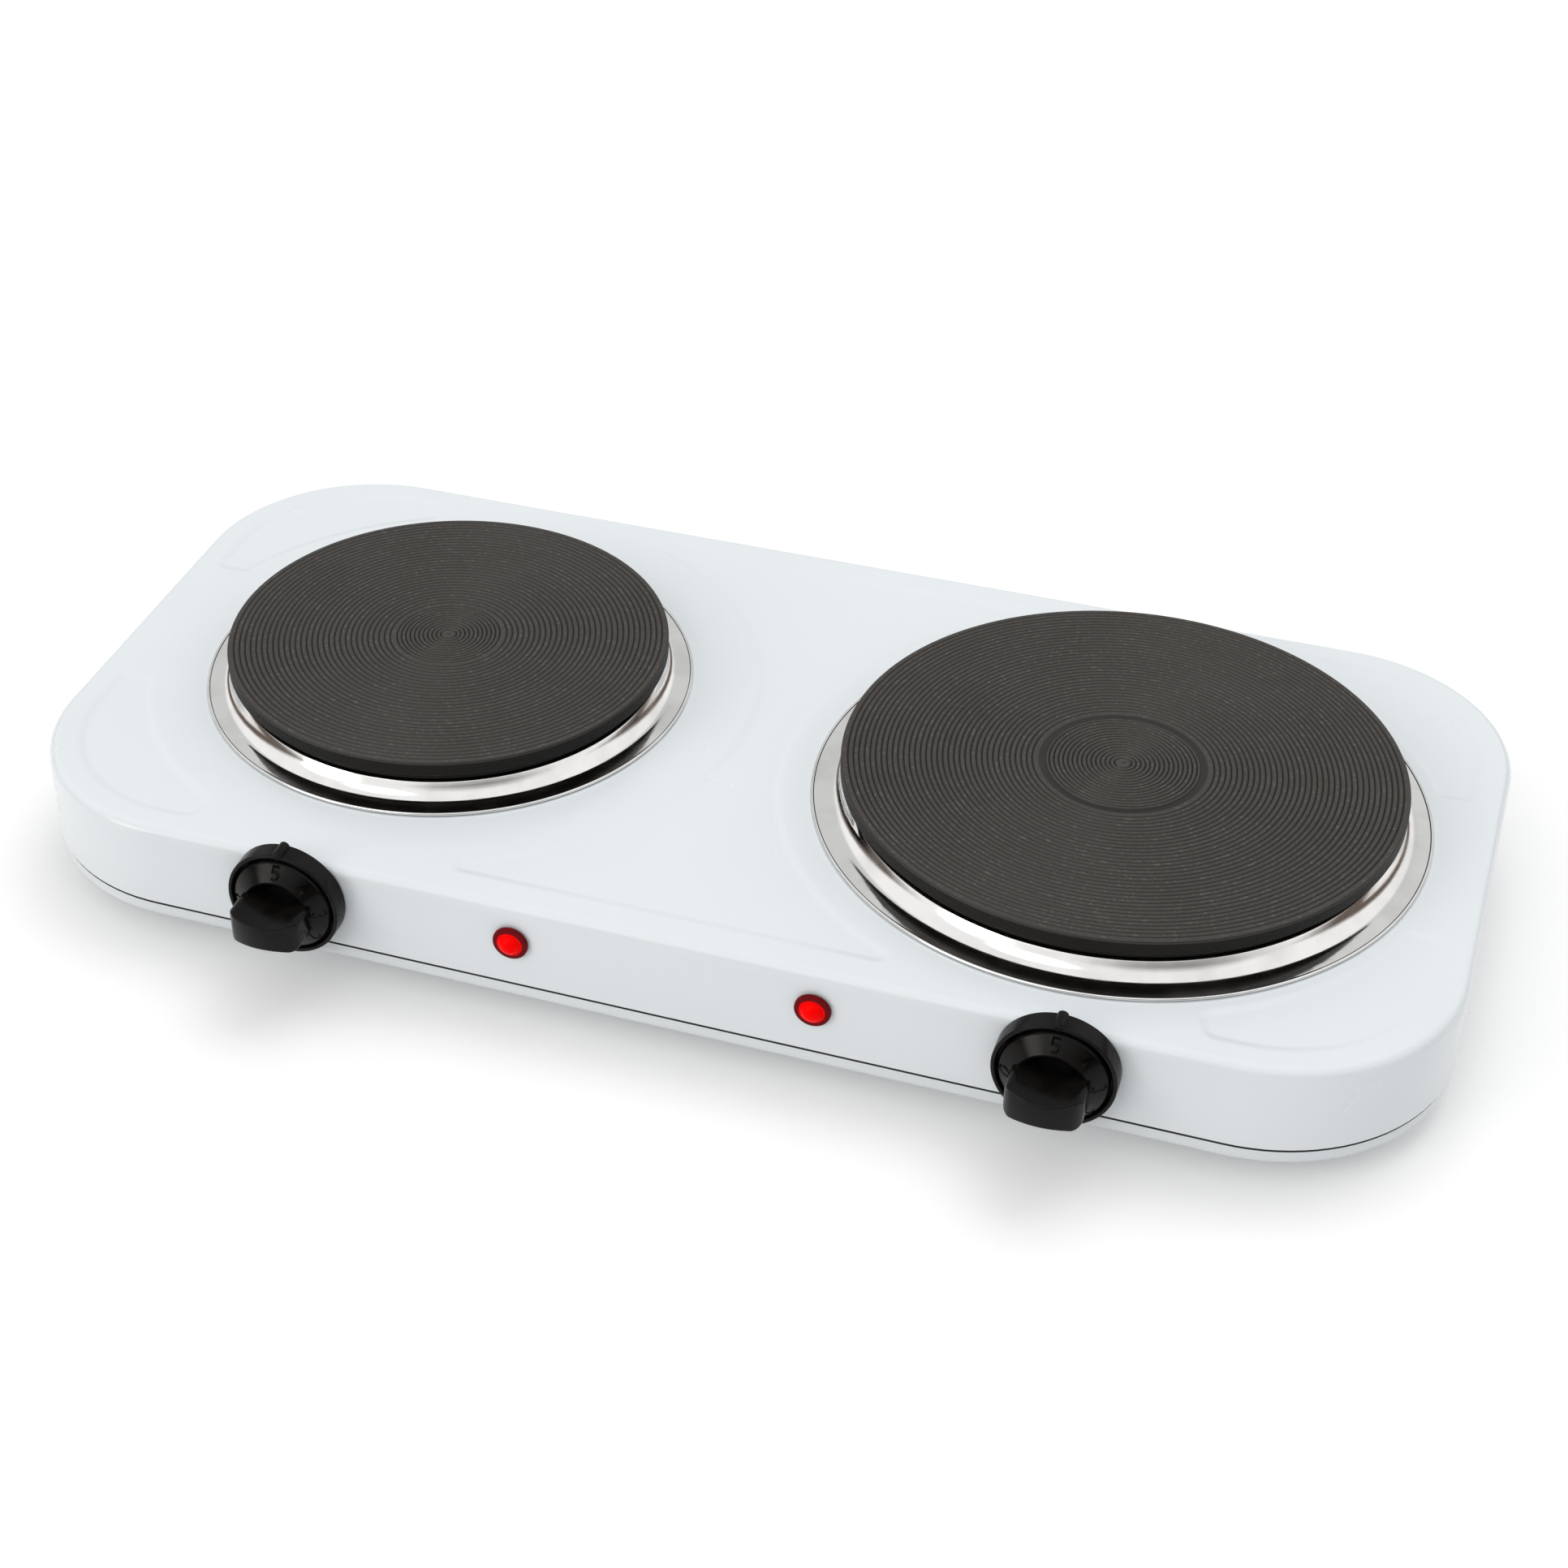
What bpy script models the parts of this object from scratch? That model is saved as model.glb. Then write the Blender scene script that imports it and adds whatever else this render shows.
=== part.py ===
"""Free-standing electric cooker with two cast-iron hot plates.

Metres, +Z up, front towards -Y. The object stands on z = 0, and its bounding box is centred on the origin.
Every piece hangs from the empty "cooker_frame", whose own origin is the middle of the housing in plan.
"""

import math

import bmesh
import bpy
from mathutils import Vector

# Clearance between pieces that touch on the real object
GAP = 0.0003

# Housing: a pressed shell over a shallow tray
BODY_LENGTH = 0.484
BODY_DEPTH = 0.236
BODY_CORNER = 0.062
SHEET = 0.0008
PAN_BOTTOM = 0.010
PAN_TOP = 0.022
PAN_INSET = 0.0004
PAN_JOGGLE = 0.0011
PAN_SHELF = 0.0154
PAN_EDGE = 0.002
SHELL_BOTTOM = 0.0163
SHELL_TOP = 0.047
SHELL_EDGE = 0.0035
WALL_DRAFT = 0.0004

# Embossed fields of the top
EMBOSS_DEPTH = 0.0008
EMBOSS_SLOPE = 0.0034
EMBOSS_MARGIN = 0.0095
EMBOSS_CORNER = 0.0045
EMBOSS_END = 0.006

# Hot plates: standard 155 mm and 185 mm sizes
PLATE_X = 0.120
PLATE_TOP = 0.063
PLATE_SKIRT = 0.0575
PLATE_UNDERCUT = 0.003
PLATE_LEDGE = 0.0545
PLATE_CHAMFER = 0.0008
SPIGOT_BOTTOM = 0.044
SPIGOT_INSET = 0.0095
HOLE_INSET = 0.0080
BOSS_RADIUS = 0.014
STUD_RADIUS = 0.004
COIL_TURNS = 2.25
COIL_POINTS_PER_TURN = 16
COIL_WIRE = 0.002
BAR_WIDTH = 0.020
BAR_THICKNESS = 0.002

# Controls on the front wall; heights along a control's axis are counted from the wall
CONTROL_X = 0.128
CONTROL_Z = 0.034
KNOB_REACH = 0.0260
BEZEL_RADIUS = 0.0195
BEZEL_DEPTH = 0.0072
SHAFT_RADIUS = 0.003
CONTROL_SCREW_X = 0.011
SHAFT_HOLE = 0.004
LAMP_HOLE = 0.0048
LAMP_X = 0.0505
LAMP_Z = 0.0335

# Rear wall and feet
GLAND_REACH = 0.0035
GLAND_Z = 0.030
GLAND_HOLE = 0.0066
GLAND_BORE = 0.0040
FOOT_X = 0.205
FOOT_Y = 0.080
SCREW_RADIUS = 0.002
SCREW_HOLE = 0.0024
BRACKET_X = 0.205
BRACKET_Y = 0.060
SLOTS_PER_PLATE = 5
SLOT_SIZE = (0.004, 0.050)
SLOT_PITCH = 0.016

ROUND_STEPS = 40
KNOB_STEPS = 24
SMALL_STEPS = 16
SCREW_STEPS = 10
# Length of the cutters that go through sheet metal
CUT_DEPTH = 0.01
FRONT_Y = -BODY_DEPTH / 2
# Moves the housing back, so that the box of the whole object, knobs included, is centred
FRAME_SHIFT = (KNOB_REACH - GLAND_REACH) / 2

# name suffix, side of the body, plate radius, ring radius, radius of the embossed fields round the plate
PLATES = (
    ("small", -1, 0.0775, 0.0860, 0.108, 0.1045),
    ("large", 1, 0.0925, 0.1020, 0.111, 0.105),
)
SIDES = (("left", -1), ("right", 1))


def clear_scene():
    for obj in list(bpy.data.objects):
        bpy.data.objects.remove(obj, do_unlink=True)


def make_collection(name):
    collection = bpy.data.collections.new(name)
    bpy.context.scene.collection.children.link(collection)
    return collection


clear_scene()
PARTS = make_collection("hot_plate_burner")
CUTTERS = make_collection("cutters")
FRAME = bpy.data.objects.new("cooker_frame", None)
FRAME.location = (0, FRAME_SHIFT, 0)
PARTS.objects.link(FRAME)


# Materials


def make_material(name, color, roughness, metallic=0.0):
    material = bpy.data.materials.new(name)
    material.use_nodes = True
    shader = material.node_tree.nodes["Principled BSDF"]
    shader.inputs["Base Color"].default_value = (*color, 1)
    shader.inputs["Roughness"].default_value = roughness
    shader.inputs["Metallic"].default_value = metallic
    material.diffuse_color = (*color, 1)
    return material


MATERIALS = {
    "enamel": make_material("white_enamel", (0.80, 0.83, 0.85), 0.18),
    "cast_iron": make_material("cast_iron", (0.05, 0.045, 0.042), 0.55, 0.6),
    "stainless": make_material("polished_stainless", (0.78, 0.78, 0.79), 0.08, 1.0),
    "steel": make_material("zinc_plated_steel", (0.55, 0.55, 0.54), 0.35, 1.0),
    "black_plastic": make_material("black_plastic", (0.02, 0.019, 0.018), 0.32),
    "red_lens": make_material("red_lens", (0.55, 0.02, 0.02), 0.15),
    "lamp_glass": make_material("lamp_glass", (0.9, 0.75, 0.6), 0.1),
    "rubber": make_material("rubber", (0.03, 0.03, 0.03), 0.8),
    "ceramic": make_material("steatite_ceramic", (0.82, 0.78, 0.70), 0.5),
    "cement": make_material("insulating_cement", (0.62, 0.60, 0.56), 0.9),
    "brass": make_material("brass", (0.72, 0.55, 0.25), 0.3, 1.0),
    "live_wire": make_material("brown_insulation", (0.25, 0.12, 0.06), 0.6),
    "load_wire": make_material("grey_insulation", (0.45, 0.45, 0.45), 0.6),
}


# Making objects


def place(obj, name, material, location=(0, 0, 0), rotation=(0, 0, 0), parent=None):
    obj.name = name
    obj.data.materials.clear()
    obj.data.materials.append(MATERIALS[material])
    obj.parent = parent or FRAME
    obj.location = location
    obj.rotation_euler = rotation
    PARTS.objects.link(obj)
    return obj


def mesh_from(bm, name):
    mesh = bpy.data.meshes.new(name)
    bm.to_mesh(mesh)
    bm.free()
    return mesh


def evaluated_mesh(obj):
    """The object's mesh with its modifiers applied. The object itself is removed."""
    CUTTERS.objects.link(obj)
    bpy.context.view_layer.update()
    graph = bpy.context.evaluated_depsgraph_get()
    mesh = bpy.data.meshes.new_from_object(obj.evaluated_get(graph))
    bpy.data.objects.remove(obj, do_unlink=True)
    mesh.shade_smooth()
    mesh.set_sharp_from_angle(angle=math.radians(35))
    return mesh


def profile_object(points, closed, steps):
    """A profile of (radius, height) points with a Screw modifier that turns it about Z."""
    bm = bmesh.new()
    verts = [bm.verts.new((radius, 0, height)) for radius, height in points]
    for first, second in zip(verts, verts[1:]):
        bm.edges.new((first, second))
    if closed:
        bm.edges.new((verts[-1], verts[0]))
    obj = bpy.data.objects.new("profile", mesh_from(bm, "profile"))
    screw = obj.modifiers.new("turn", "SCREW")
    screw.steps = screw.render_steps = steps
    screw.use_merge_vertices = True
    screw.merge_threshold = 0.00001
    return obj


def turned_mesh(points, steps=ROUND_STEPS):
    """A solid of revolution: a profile from axis to axis, or a closed loop clear of the axis."""
    on_axis = points[0][0] == 0
    return evaluated_mesh(profile_object(points, not on_axis, steps))


def turned_shell_mesh(points, thickness, steps=ROUND_STEPS):
    """A turned sheet: the profile is its outer face, and the sheet lies behind it."""
    obj = profile_object(points, False, steps)
    solidify = obj.modifiers.new("sheet", "SOLIDIFY")
    solidify.thickness = thickness
    solidify.offset = -1
    solidify.use_even_offset = True
    return evaluated_mesh(obj)


def turned(name, material, points, steps=ROUND_STEPS, **placing):
    return place(bpy.data.objects.new(name, turned_mesh(points, steps)), name, material, **placing)


def flat_curve(outlines, thickness):
    """A 2D curve of closed outlines, filled between the outer one and its holes, and extruded about z = 0."""
    curve = bpy.data.curves.new("outline", "CURVE")
    curve.dimensions = "2D"
    curve.fill_mode = "BOTH"
    curve.extrude = thickness / 2
    for outline in outlines:
        spline = curve.splines.new("POLY")
        spline.points.add(len(outline) - 1)
        spline.use_cyclic_u = True
        for point, (x, y) in zip(spline.points, outline):
            point.co = (x, y, 0, 1)
    return curve


def flat_piece(name, material, outlines, thickness, **placing):
    return place(bpy.data.objects.new(name, flat_curve(outlines, thickness)), name, material, **placing)


def box_mesh(size, bevel=0.0):
    bm = bmesh.new()
    bmesh.ops.create_cube(bm, size=1)
    bmesh.ops.scale(bm, vec=Vector(size), verts=bm.verts)
    if bevel:
        bmesh.ops.bevel(bm, geom=bm.edges[:], offset=bevel, segments=1, affect="EDGES")
    return mesh_from(bm, "box")


def box(name, material, size, bevel=0.0, **placing):
    return place(bpy.data.objects.new(name, box_mesh(size, bevel)), name, material, **placing)


def cutter(mesh, location, rotation=(0, 0, 0), parent=None):
    obj = bpy.data.objects.new("cutter", mesh)
    obj.parent = parent or FRAME
    obj.location = location
    obj.rotation_euler = rotation
    obj.display_type = "WIRE"
    obj.hide_render = True
    CUTTERS.objects.link(obj)
    return obj


def boolean(target, tool, operation="DIFFERENCE"):
    modifier = target.modifiers.new(operation.lower(), "BOOLEAN")
    modifier.operation = operation
    modifier.solver = "EXACT"
    modifier.object = tool


def cylinder_mesh(radius, depth, steps=SMALL_STEPS):
    bm = bmesh.new()
    bmesh.ops.create_cone(
        bm, cap_ends=True, segments=steps, radius1=radius, radius2=radius, depth=depth
    )
    return mesh_from(bm, "cylinder")


def wire(name, material, route, radius=0.0012):
    """An insulated wire along a smooth curve through the route's points."""
    curve = bpy.data.curves.new(name, "CURVE")
    curve.dimensions = "3D"
    curve.bevel_depth = radius
    curve.bevel_resolution = 1
    curve.use_fill_caps = True
    points = smooth_route(route)
    spline = curve.splines.new("POLY")
    spline.points.add(len(points) - 1)
    for target, point in zip(spline.points, points):
        target.co = (*point, 1)
    return place(bpy.data.objects.new(name, curve), name, material)


def smooth_route(route, steps=4):
    """Points of a Catmull-Rom curve through the route."""
    knots = [Vector(point) for point in route]
    knots = [2 * knots[0] - knots[1], *knots, 2 * knots[-1] - knots[-2]]
    points = []
    for before, start, end, after in zip(knots, knots[1:], knots[2:], knots[3:]):
        for step in range(steps):
            t = step / steps
            points.append(
                0.5
                * (
                    2 * start
                    + (end - before) * t
                    + (2 * before - 5 * start + 4 * end - after) * t**2
                    + (3 * start - before - 3 * end + after) * t**3
                )
            )
    return [*points, knots[-2]]


# Outlines in plan


def arc(center, radius, start, end, steps):
    """Points of an arc, in degrees, both ends included."""
    angles = [math.radians(start + (end - start) * i / steps) for i in range(steps + 1)]
    return [(center[0] + radius * math.cos(a), center[1] + radius * math.sin(a)) for a in angles]


def circle(radius, steps=SMALL_STEPS, center=(0, 0)):
    return arc(center, radius, 0, 360, steps)[:-1]


def body_outline(inset, steps=6):
    """The housing's rounded rectangle, counter-clockwise, moved in by inset."""
    radius = BODY_CORNER - inset
    points = []
    for quarter, (side_x, side_y) in enumerate(((1, 1), (-1, 1), (-1, -1), (1, -1))):
        center = (side_x * (BODY_LENGTH / 2 - BODY_CORNER), side_y * (BODY_DEPTH / 2 - BODY_CORNER))
        points += arc(center, radius, 90 * quarter, 90 * quarter + 90, steps)
    return points


class Line:
    """A straight edge of a field, with the field on its left."""

    def __init__(self, start, end):
        self.start = Vector(start)
        self.along = (Vector(end) - self.start).normalized()
        self.normal = Vector((-self.along.y, self.along.x))

    def inset(self, distance):
        moved = self.start + self.normal * distance
        return Line(moved, moved + self.along)

    def foot(self, point):
        return self.start + self.along * (point - self.start).dot(self.along)

    def between(self, start, end):
        return []


class Round:
    """A concave edge round a plate, run clockwise, with the field outside it."""

    STEPS = 10

    def __init__(self, center, radius):
        self.center = Vector(center)
        self.radius = radius

    def inset(self, distance):
        return Round(self.center, self.radius + distance)

    def foot(self, point):
        return self.center + (point - self.center).normalized() * self.radius

    def between(self, start, end):
        first, last = (math.atan2(*reversed(p - self.center)) for p in (start, end))
        if last > first:
            last -= 2 * math.pi
        return arc(self.center, self.radius, math.degrees(first), math.degrees(last), self.STEPS)[1:-1]


def crossing(first, second, near):
    """Where two edges of a field meet: the crossing closest to a given point."""
    if isinstance(first, Round):
        first, second = second, first
    if isinstance(second, Line):
        offset = (second.start - first.start).dot(second.normal) / first.along.dot(second.normal)
        return first.start + first.along * offset
    foot = first.foot(second.center)
    half = math.sqrt(second.radius**2 - (foot - second.center).length_squared)
    ends = (foot + first.along * half, foot - first.along * half)
    return min(ends, key=lambda end: (end - Vector(near)).length)


def field_outline(edges, corners, inset):
    """A field's outline, counter-clockwise. Each corner is (fillet radius, point near it), after its edge."""
    moved = [edge.inset(inset) for edge in edges]
    rounds = []
    for index, (radius, near) in enumerate(corners):
        first, second = moved[index], moved[(index + 1) % len(moved)]
        radius -= inset
        center = crossing(first.inset(radius), second.inset(radius), near)
        start, end = first.foot(center), second.foot(center)
        first_angle, last_angle = (math.degrees(math.atan2(*reversed(p - center))) for p in (start, end))
        if last_angle < first_angle:
            last_angle += 360
        steps = 6 if radius > 0.02 else 3
        rounds.append((start, end, arc(center, radius, first_angle, last_angle, steps)))
    points = []
    for index, (start, end, fillet) in enumerate(rounds):
        points += moved[index].between(rounds[index - 1][1], start)
        points += fillet
    return points


def middle_field(inset):
    """The field between the plates: straight at front and back, concave round both plates."""
    half_depth = BODY_DEPTH / 2 - EMBOSS_MARGIN - 0.002
    radii = {side: field_radius for _, side, _, _, field_radius, _ in PLATES}
    edges = (
        Line((-1, -half_depth), (1, -half_depth)),
        Round((PLATE_X, 0), radii[1]),
        Line((1, half_depth), (-1, half_depth)),
        Round((-PLATE_X, 0), radii[-1]),
    )
    near = 0.08
    corners = [
        (EMBOSS_CORNER, (x, y)) for x, y in ((near, -near), (near, near), (-near, near), (-near, -near))
    ]
    return field_outline(edges, corners, inset)


def corner_field(side_x, side_y, plate_field, inset):
    """The field in one corner of the top, drawn for the rear right corner and mirrored."""
    half_x = BODY_LENGTH / 2 - EMBOSS_MARGIN
    half_y = BODY_DEPTH / 2 - EMBOSS_MARGIN
    side_end = 0.036
    inner_end, outer_end = (0.163, 0.094), (0.168, half_y)
    edges = (
        Line((half_x, 0), (half_x, 1)),
        Line((1, half_y), (0, half_y)),
        Line(outer_end, inner_end),
        Round((PLATE_X, 0), plate_field),
        Line((0, side_end), (1, side_end)),
    )
    corners = (
        (BODY_CORNER - EMBOSS_MARGIN, (half_x, half_y)),
        (EMBOSS_END, outer_end),
        (EMBOSS_END, inner_end),
        (EMBOSS_CORNER, (PLATE_X + plate_field, side_end)),
        (EMBOSS_CORNER, (half_x, side_end)),
    )
    points = [(side_x * p[0], side_y * p[1]) for p in field_outline(edges, corners, inset)]
    return points if side_x * side_y > 0 else points[::-1]


def all_fields(inset):
    fields = [middle_field(inset)]
    for _, side_x, _, _, _, plate_field in PLATES:
        fields += [corner_field(side_x, side_y, plate_field, inset) for side_y in (-1, 1)]
    return fields


# Sheet metal


def add_loop(bm, points, height):
    return [bm.verts.new((point[0], point[1], height)) for point in points]


def loop_edges(bm, verts):
    pairs = zip(verts, verts[1:] + verts[:1])
    return [bm.edges.get(pair) or bm.edges.new(pair) for pair in pairs]


def join_loops(bm, lower, upper):
    """Quads between two loops of as many points, facing out when both run counter-clockwise."""
    count = len(lower)
    for i in range(count):
        j = (i + 1) % count
        bm.faces.new((lower[i], lower[j], upper[j], upper[i]))


def fill_up(bm, loops):
    """Fills a flat region between its loops, with its faces turned up."""
    edges = [edge for loop in loops for edge in loop_edges(bm, loop)]
    filled = bmesh.ops.triangle_fill(bm, use_beauty=True, edges=edges)["geom"]
    for face in filled:
        if isinstance(face, bmesh.types.BMFace):
            face.normal_update()
            if face.normal.z < 0:
                face.normal_flip()


def sheet_object(bm, name):
    obj = bpy.data.objects.new(name, mesh_from(bm, name))
    solidify = obj.modifiers.new("sheet", "SOLIDIFY")
    solidify.thickness = SHEET
    solidify.offset = -1
    solidify.use_even_offset = True
    return obj


def shell_levels():
    """(inset, height) from the shell's lower edge, up the wall and round its top edge."""
    levels = [(0, SHELL_BOTTOM)]
    for step in range(4):
        angle = math.radians(30 * step)
        levels.append(
            (
                WALL_DRAFT + SHELL_EDGE * (1 - math.cos(angle)),
                SHELL_TOP - SHELL_EDGE * (1 - math.sin(angle)),
            )
        )
    return levels


def make_top_housing():
    bm = bmesh.new()
    rings = [add_loop(bm, body_outline(inset), height) for inset, height in shell_levels()]
    for lower, upper in zip(rings, rings[1:]):
        join_loops(bm, lower, upper)
    holes = []
    for _, side, plate_radius, *_ in PLATES:
        outline = circle(plate_radius - HOLE_INSET, ROUND_STEPS, (side * PLATE_X, 0))
        holes.append(add_loop(bm, outline, SHELL_TOP))
    edges_of_fields = [add_loop(bm, field, SHELL_TOP) for field in all_fields(0)]
    floors = [add_loop(bm, field, SHELL_TOP - EMBOSS_DEPTH) for field in all_fields(EMBOSS_SLOPE)]
    for edge, floor in zip(edges_of_fields, floors):
        join_loops(bm, edge, floor)
        fill_up(bm, [floor])
    fill_up(bm, [rings[-1], *holes, *edges_of_fields])
    shell = place(sheet_object(bm, "top_housing"), "top_housing", "enamel")
    front = (math.radians(90), 0, 0)
    for _, side in SIDES:
        shaft_hole = cylinder_mesh(SHAFT_HOLE, CUT_DEPTH)
        boolean(shell, cutter(shaft_hole, (side * CONTROL_X, FRONT_Y, CONTROL_Z), front))
        for offset in (-CONTROL_SCREW_X, CONTROL_SCREW_X):
            spot = (side * CONTROL_X + offset, FRONT_Y, CONTROL_Z)
            boolean(shell, cutter(cylinder_mesh(SCREW_HOLE, CUT_DEPTH, 8), spot, front))
        boolean(shell, cutter(cylinder_mesh(LAMP_HOLE, CUT_DEPTH), (side * LAMP_X, FRONT_Y, LAMP_Z), front))
    boolean(shell, cutter(cylinder_mesh(GLAND_HOLE, CUT_DEPTH), (0, -FRONT_Y, GLAND_Z), front))


def make_base_pan():
    bm = bmesh.new()
    levels = [(PAN_INSET + PAN_EDGE, PAN_BOTTOM)]
    for step in (1, 2):
        angle = math.radians(45 * step)
        levels.append(
            (PAN_INSET + PAN_EDGE * (1 - math.sin(angle)), PAN_BOTTOM + PAN_EDGE * (1 - math.cos(angle)))
        )
    levels += [(PAN_INSET, PAN_SHELF), (PAN_INSET + PAN_JOGGLE, PAN_SHELF), (PAN_INSET + PAN_JOGGLE, PAN_TOP)]
    rings = [add_loop(bm, body_outline(inset), height) for inset, height in levels]
    for lower, upper in zip(rings, rings[1:]):
        join_loops(bm, lower, upper)
    bm.faces.new(reversed(rings[0]))
    pan = place(sheet_object(bm, "base_pan"), "base_pan", "enamel")
    for side_x in (-1, 1):
        for side_y in (-1, 1):
            screw_hole = cylinder_mesh(SCREW_HOLE, CUT_DEPTH, 8)
            boolean(pan, cutter(screw_hole, (side_x * FOOT_X, side_y * FOOT_Y, PAN_BOTTOM)))
        for index in range(SLOTS_PER_PLATE):
            slot_x = side_x * PLATE_X + (index - (SLOTS_PER_PLATE - 1) / 2) * SLOT_PITCH
            boolean(pan, cutter(box_mesh((*SLOT_SIZE, CUT_DEPTH)), (slot_x, 0, PAN_BOTTOM)))


def make_feet():
    foot_top = PAN_BOTTOM - GAP
    foot = (
        (0.0090, foot_top),
        (0.0078, 0.0008),
        (0.0070, 0),
        (0.0042, 0),
        (0.0042, 0.0050),
        (SCREW_RADIUS + GAP, 0.0050),
        (SCREW_RADIUS + GAP, foot_top),
    )
    screw = (
        (0, 0.0155),
        (SCREW_RADIUS, 0.0155),
        (SCREW_RADIUS, 0.0047),
        (0.0036, 0.0047),
        (0.0036, 0.0025),
        (0, 0.0025),
    )
    for row, side_y in (("front", -1), ("rear", 1)):
        for column, side_x in SIDES:
            spot = (side_x * FOOT_X, side_y * FOOT_Y, 0)
            turned(f"foot_{row}_{column}", "rubber", foot, SMALL_STEPS, location=spot)
            turned(f"foot_screw_{row}_{column}", "steel", screw, SCREW_STEPS, location=spot)


def make_corner_brackets():
    """Z-shaped strips: lower leg on the pan's floor, upright inside the wall, upper leg under the top."""
    floor = PAN_BOTTOM + SHEET + GAP
    roof = SHELL_TOP - EMBOSS_DEPTH - SHEET - GAP
    leg, sheet = 0.012, 0.0012
    outline = (
        (0, floor),
        (leg, floor),
        (leg, roof - sheet),
        (2 * leg, roof - sheet),
        (2 * leg, roof),
        (leg - sheet, roof),
        (leg - sheet, floor + sheet),
        (0, floor + sheet),
    )
    for row, side_y in (("front", -1), ("rear", 1)):
        for column, side_x in SIDES:
            turn = 0 if side_x > 0 else math.pi
            flat_piece(
                f"corner_bracket_{row}_{column}",
                "steel",
                [outline],
                0.012,
                location=(side_x * BRACKET_X, side_y * BRACKET_Y, 0),
                rotation=(math.radians(90), 0, turn),
            )


# Hot plates


def ring_profile(plate_radius, ring_radius):
    """The drip ring's outer face: rolled lip, hollow rise, seat under the plate, and inner leg."""
    base = SHELL_TOP + GAP + 0.0006
    lip = ring_radius - 0.0035
    seat = plate_radius - 0.0010
    seat_height = PLATE_LEDGE - GAP
    rise = []
    for step in range(4):
        t = step / 3
        radius = lip + (seat - lip) * t
        rise.append((radius, base + 0.0008 + (seat_height - base - 0.0008) * t**1.6))
    face = [(ring_radius, base - 0.0003), (ring_radius - 0.0006, base + 0.0004), *rise]
    face += [(plate_radius - 0.0065, seat_height), (plate_radius - 0.0065, SHELL_TOP + GAP)]
    return face[::-1]


def spiral(inner, outer, height):
    points = []
    count = int(COIL_TURNS * COIL_POINTS_PER_TURN)
    for index in range(count + 1):
        angle = 2 * math.pi * index / COIL_POINTS_PER_TURN
        radius = inner + (outer - inner) * index / count
        points.append((radius * math.cos(angle), radius * math.sin(angle), height))
    return points


def make_heating_coil(suffix, plate_radius, parent):
    curve = bpy.data.curves.new("coil", "CURVE")
    curve.dimensions = "3D"
    curve.bevel_depth = COIL_WIRE
    curve.bevel_resolution = 1
    curve.use_fill_caps = True
    points = spiral(0.024, plate_radius - 0.019, 0.0537)
    spline = curve.splines.new("POLY")
    spline.points.add(len(points) - 1)
    for target, point in zip(spline.points, points):
        target.co = (*point, 1)
    place(bpy.data.objects.new("coil", curve), f"heating_coil_{suffix}", "steel", parent=parent)


def make_clamp_bar(suffix, plate_radius, parent):
    """A cranked bar: its ends press up under the housing, and the stud pulls on its middle."""
    roof = SHELL_TOP - SHEET - GAP
    low = 0.0395
    half = plate_radius + 0.006
    crank_top, crank_low = plate_radius - 0.0065, plate_radius - 0.0140
    upper = ((half, roof), (crank_top, roof), (crank_low, low))
    outline = [*upper, *((-x, z) for x, z in reversed(upper))]
    lowered = [(x, z - BAR_THICKNESS) for x, z in reversed(outline)]
    curve = bpy.data.objects.new("bar", flat_curve([[*outline, *lowered]], BAR_WIDTH))
    mesh = evaluated_mesh(curve)
    weld(mesh)
    bar = bpy.data.objects.new("bar", mesh)
    upright = (math.radians(90), 0, 0)
    place(bar, f"clamp_bar_{suffix}", "steel", rotation=upright, parent=parent)
    boolean(bar, cutter(cylinder_mesh(STUD_RADIUS + GAP, 0.02), (0, 0, low), parent=parent))


def weld(mesh):
    bm = bmesh.new()
    bm.from_mesh(mesh)
    bmesh.ops.remove_doubles(bm, verts=bm.verts, dist=0.00001)
    bm.to_mesh(mesh)
    bm.free()


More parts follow.
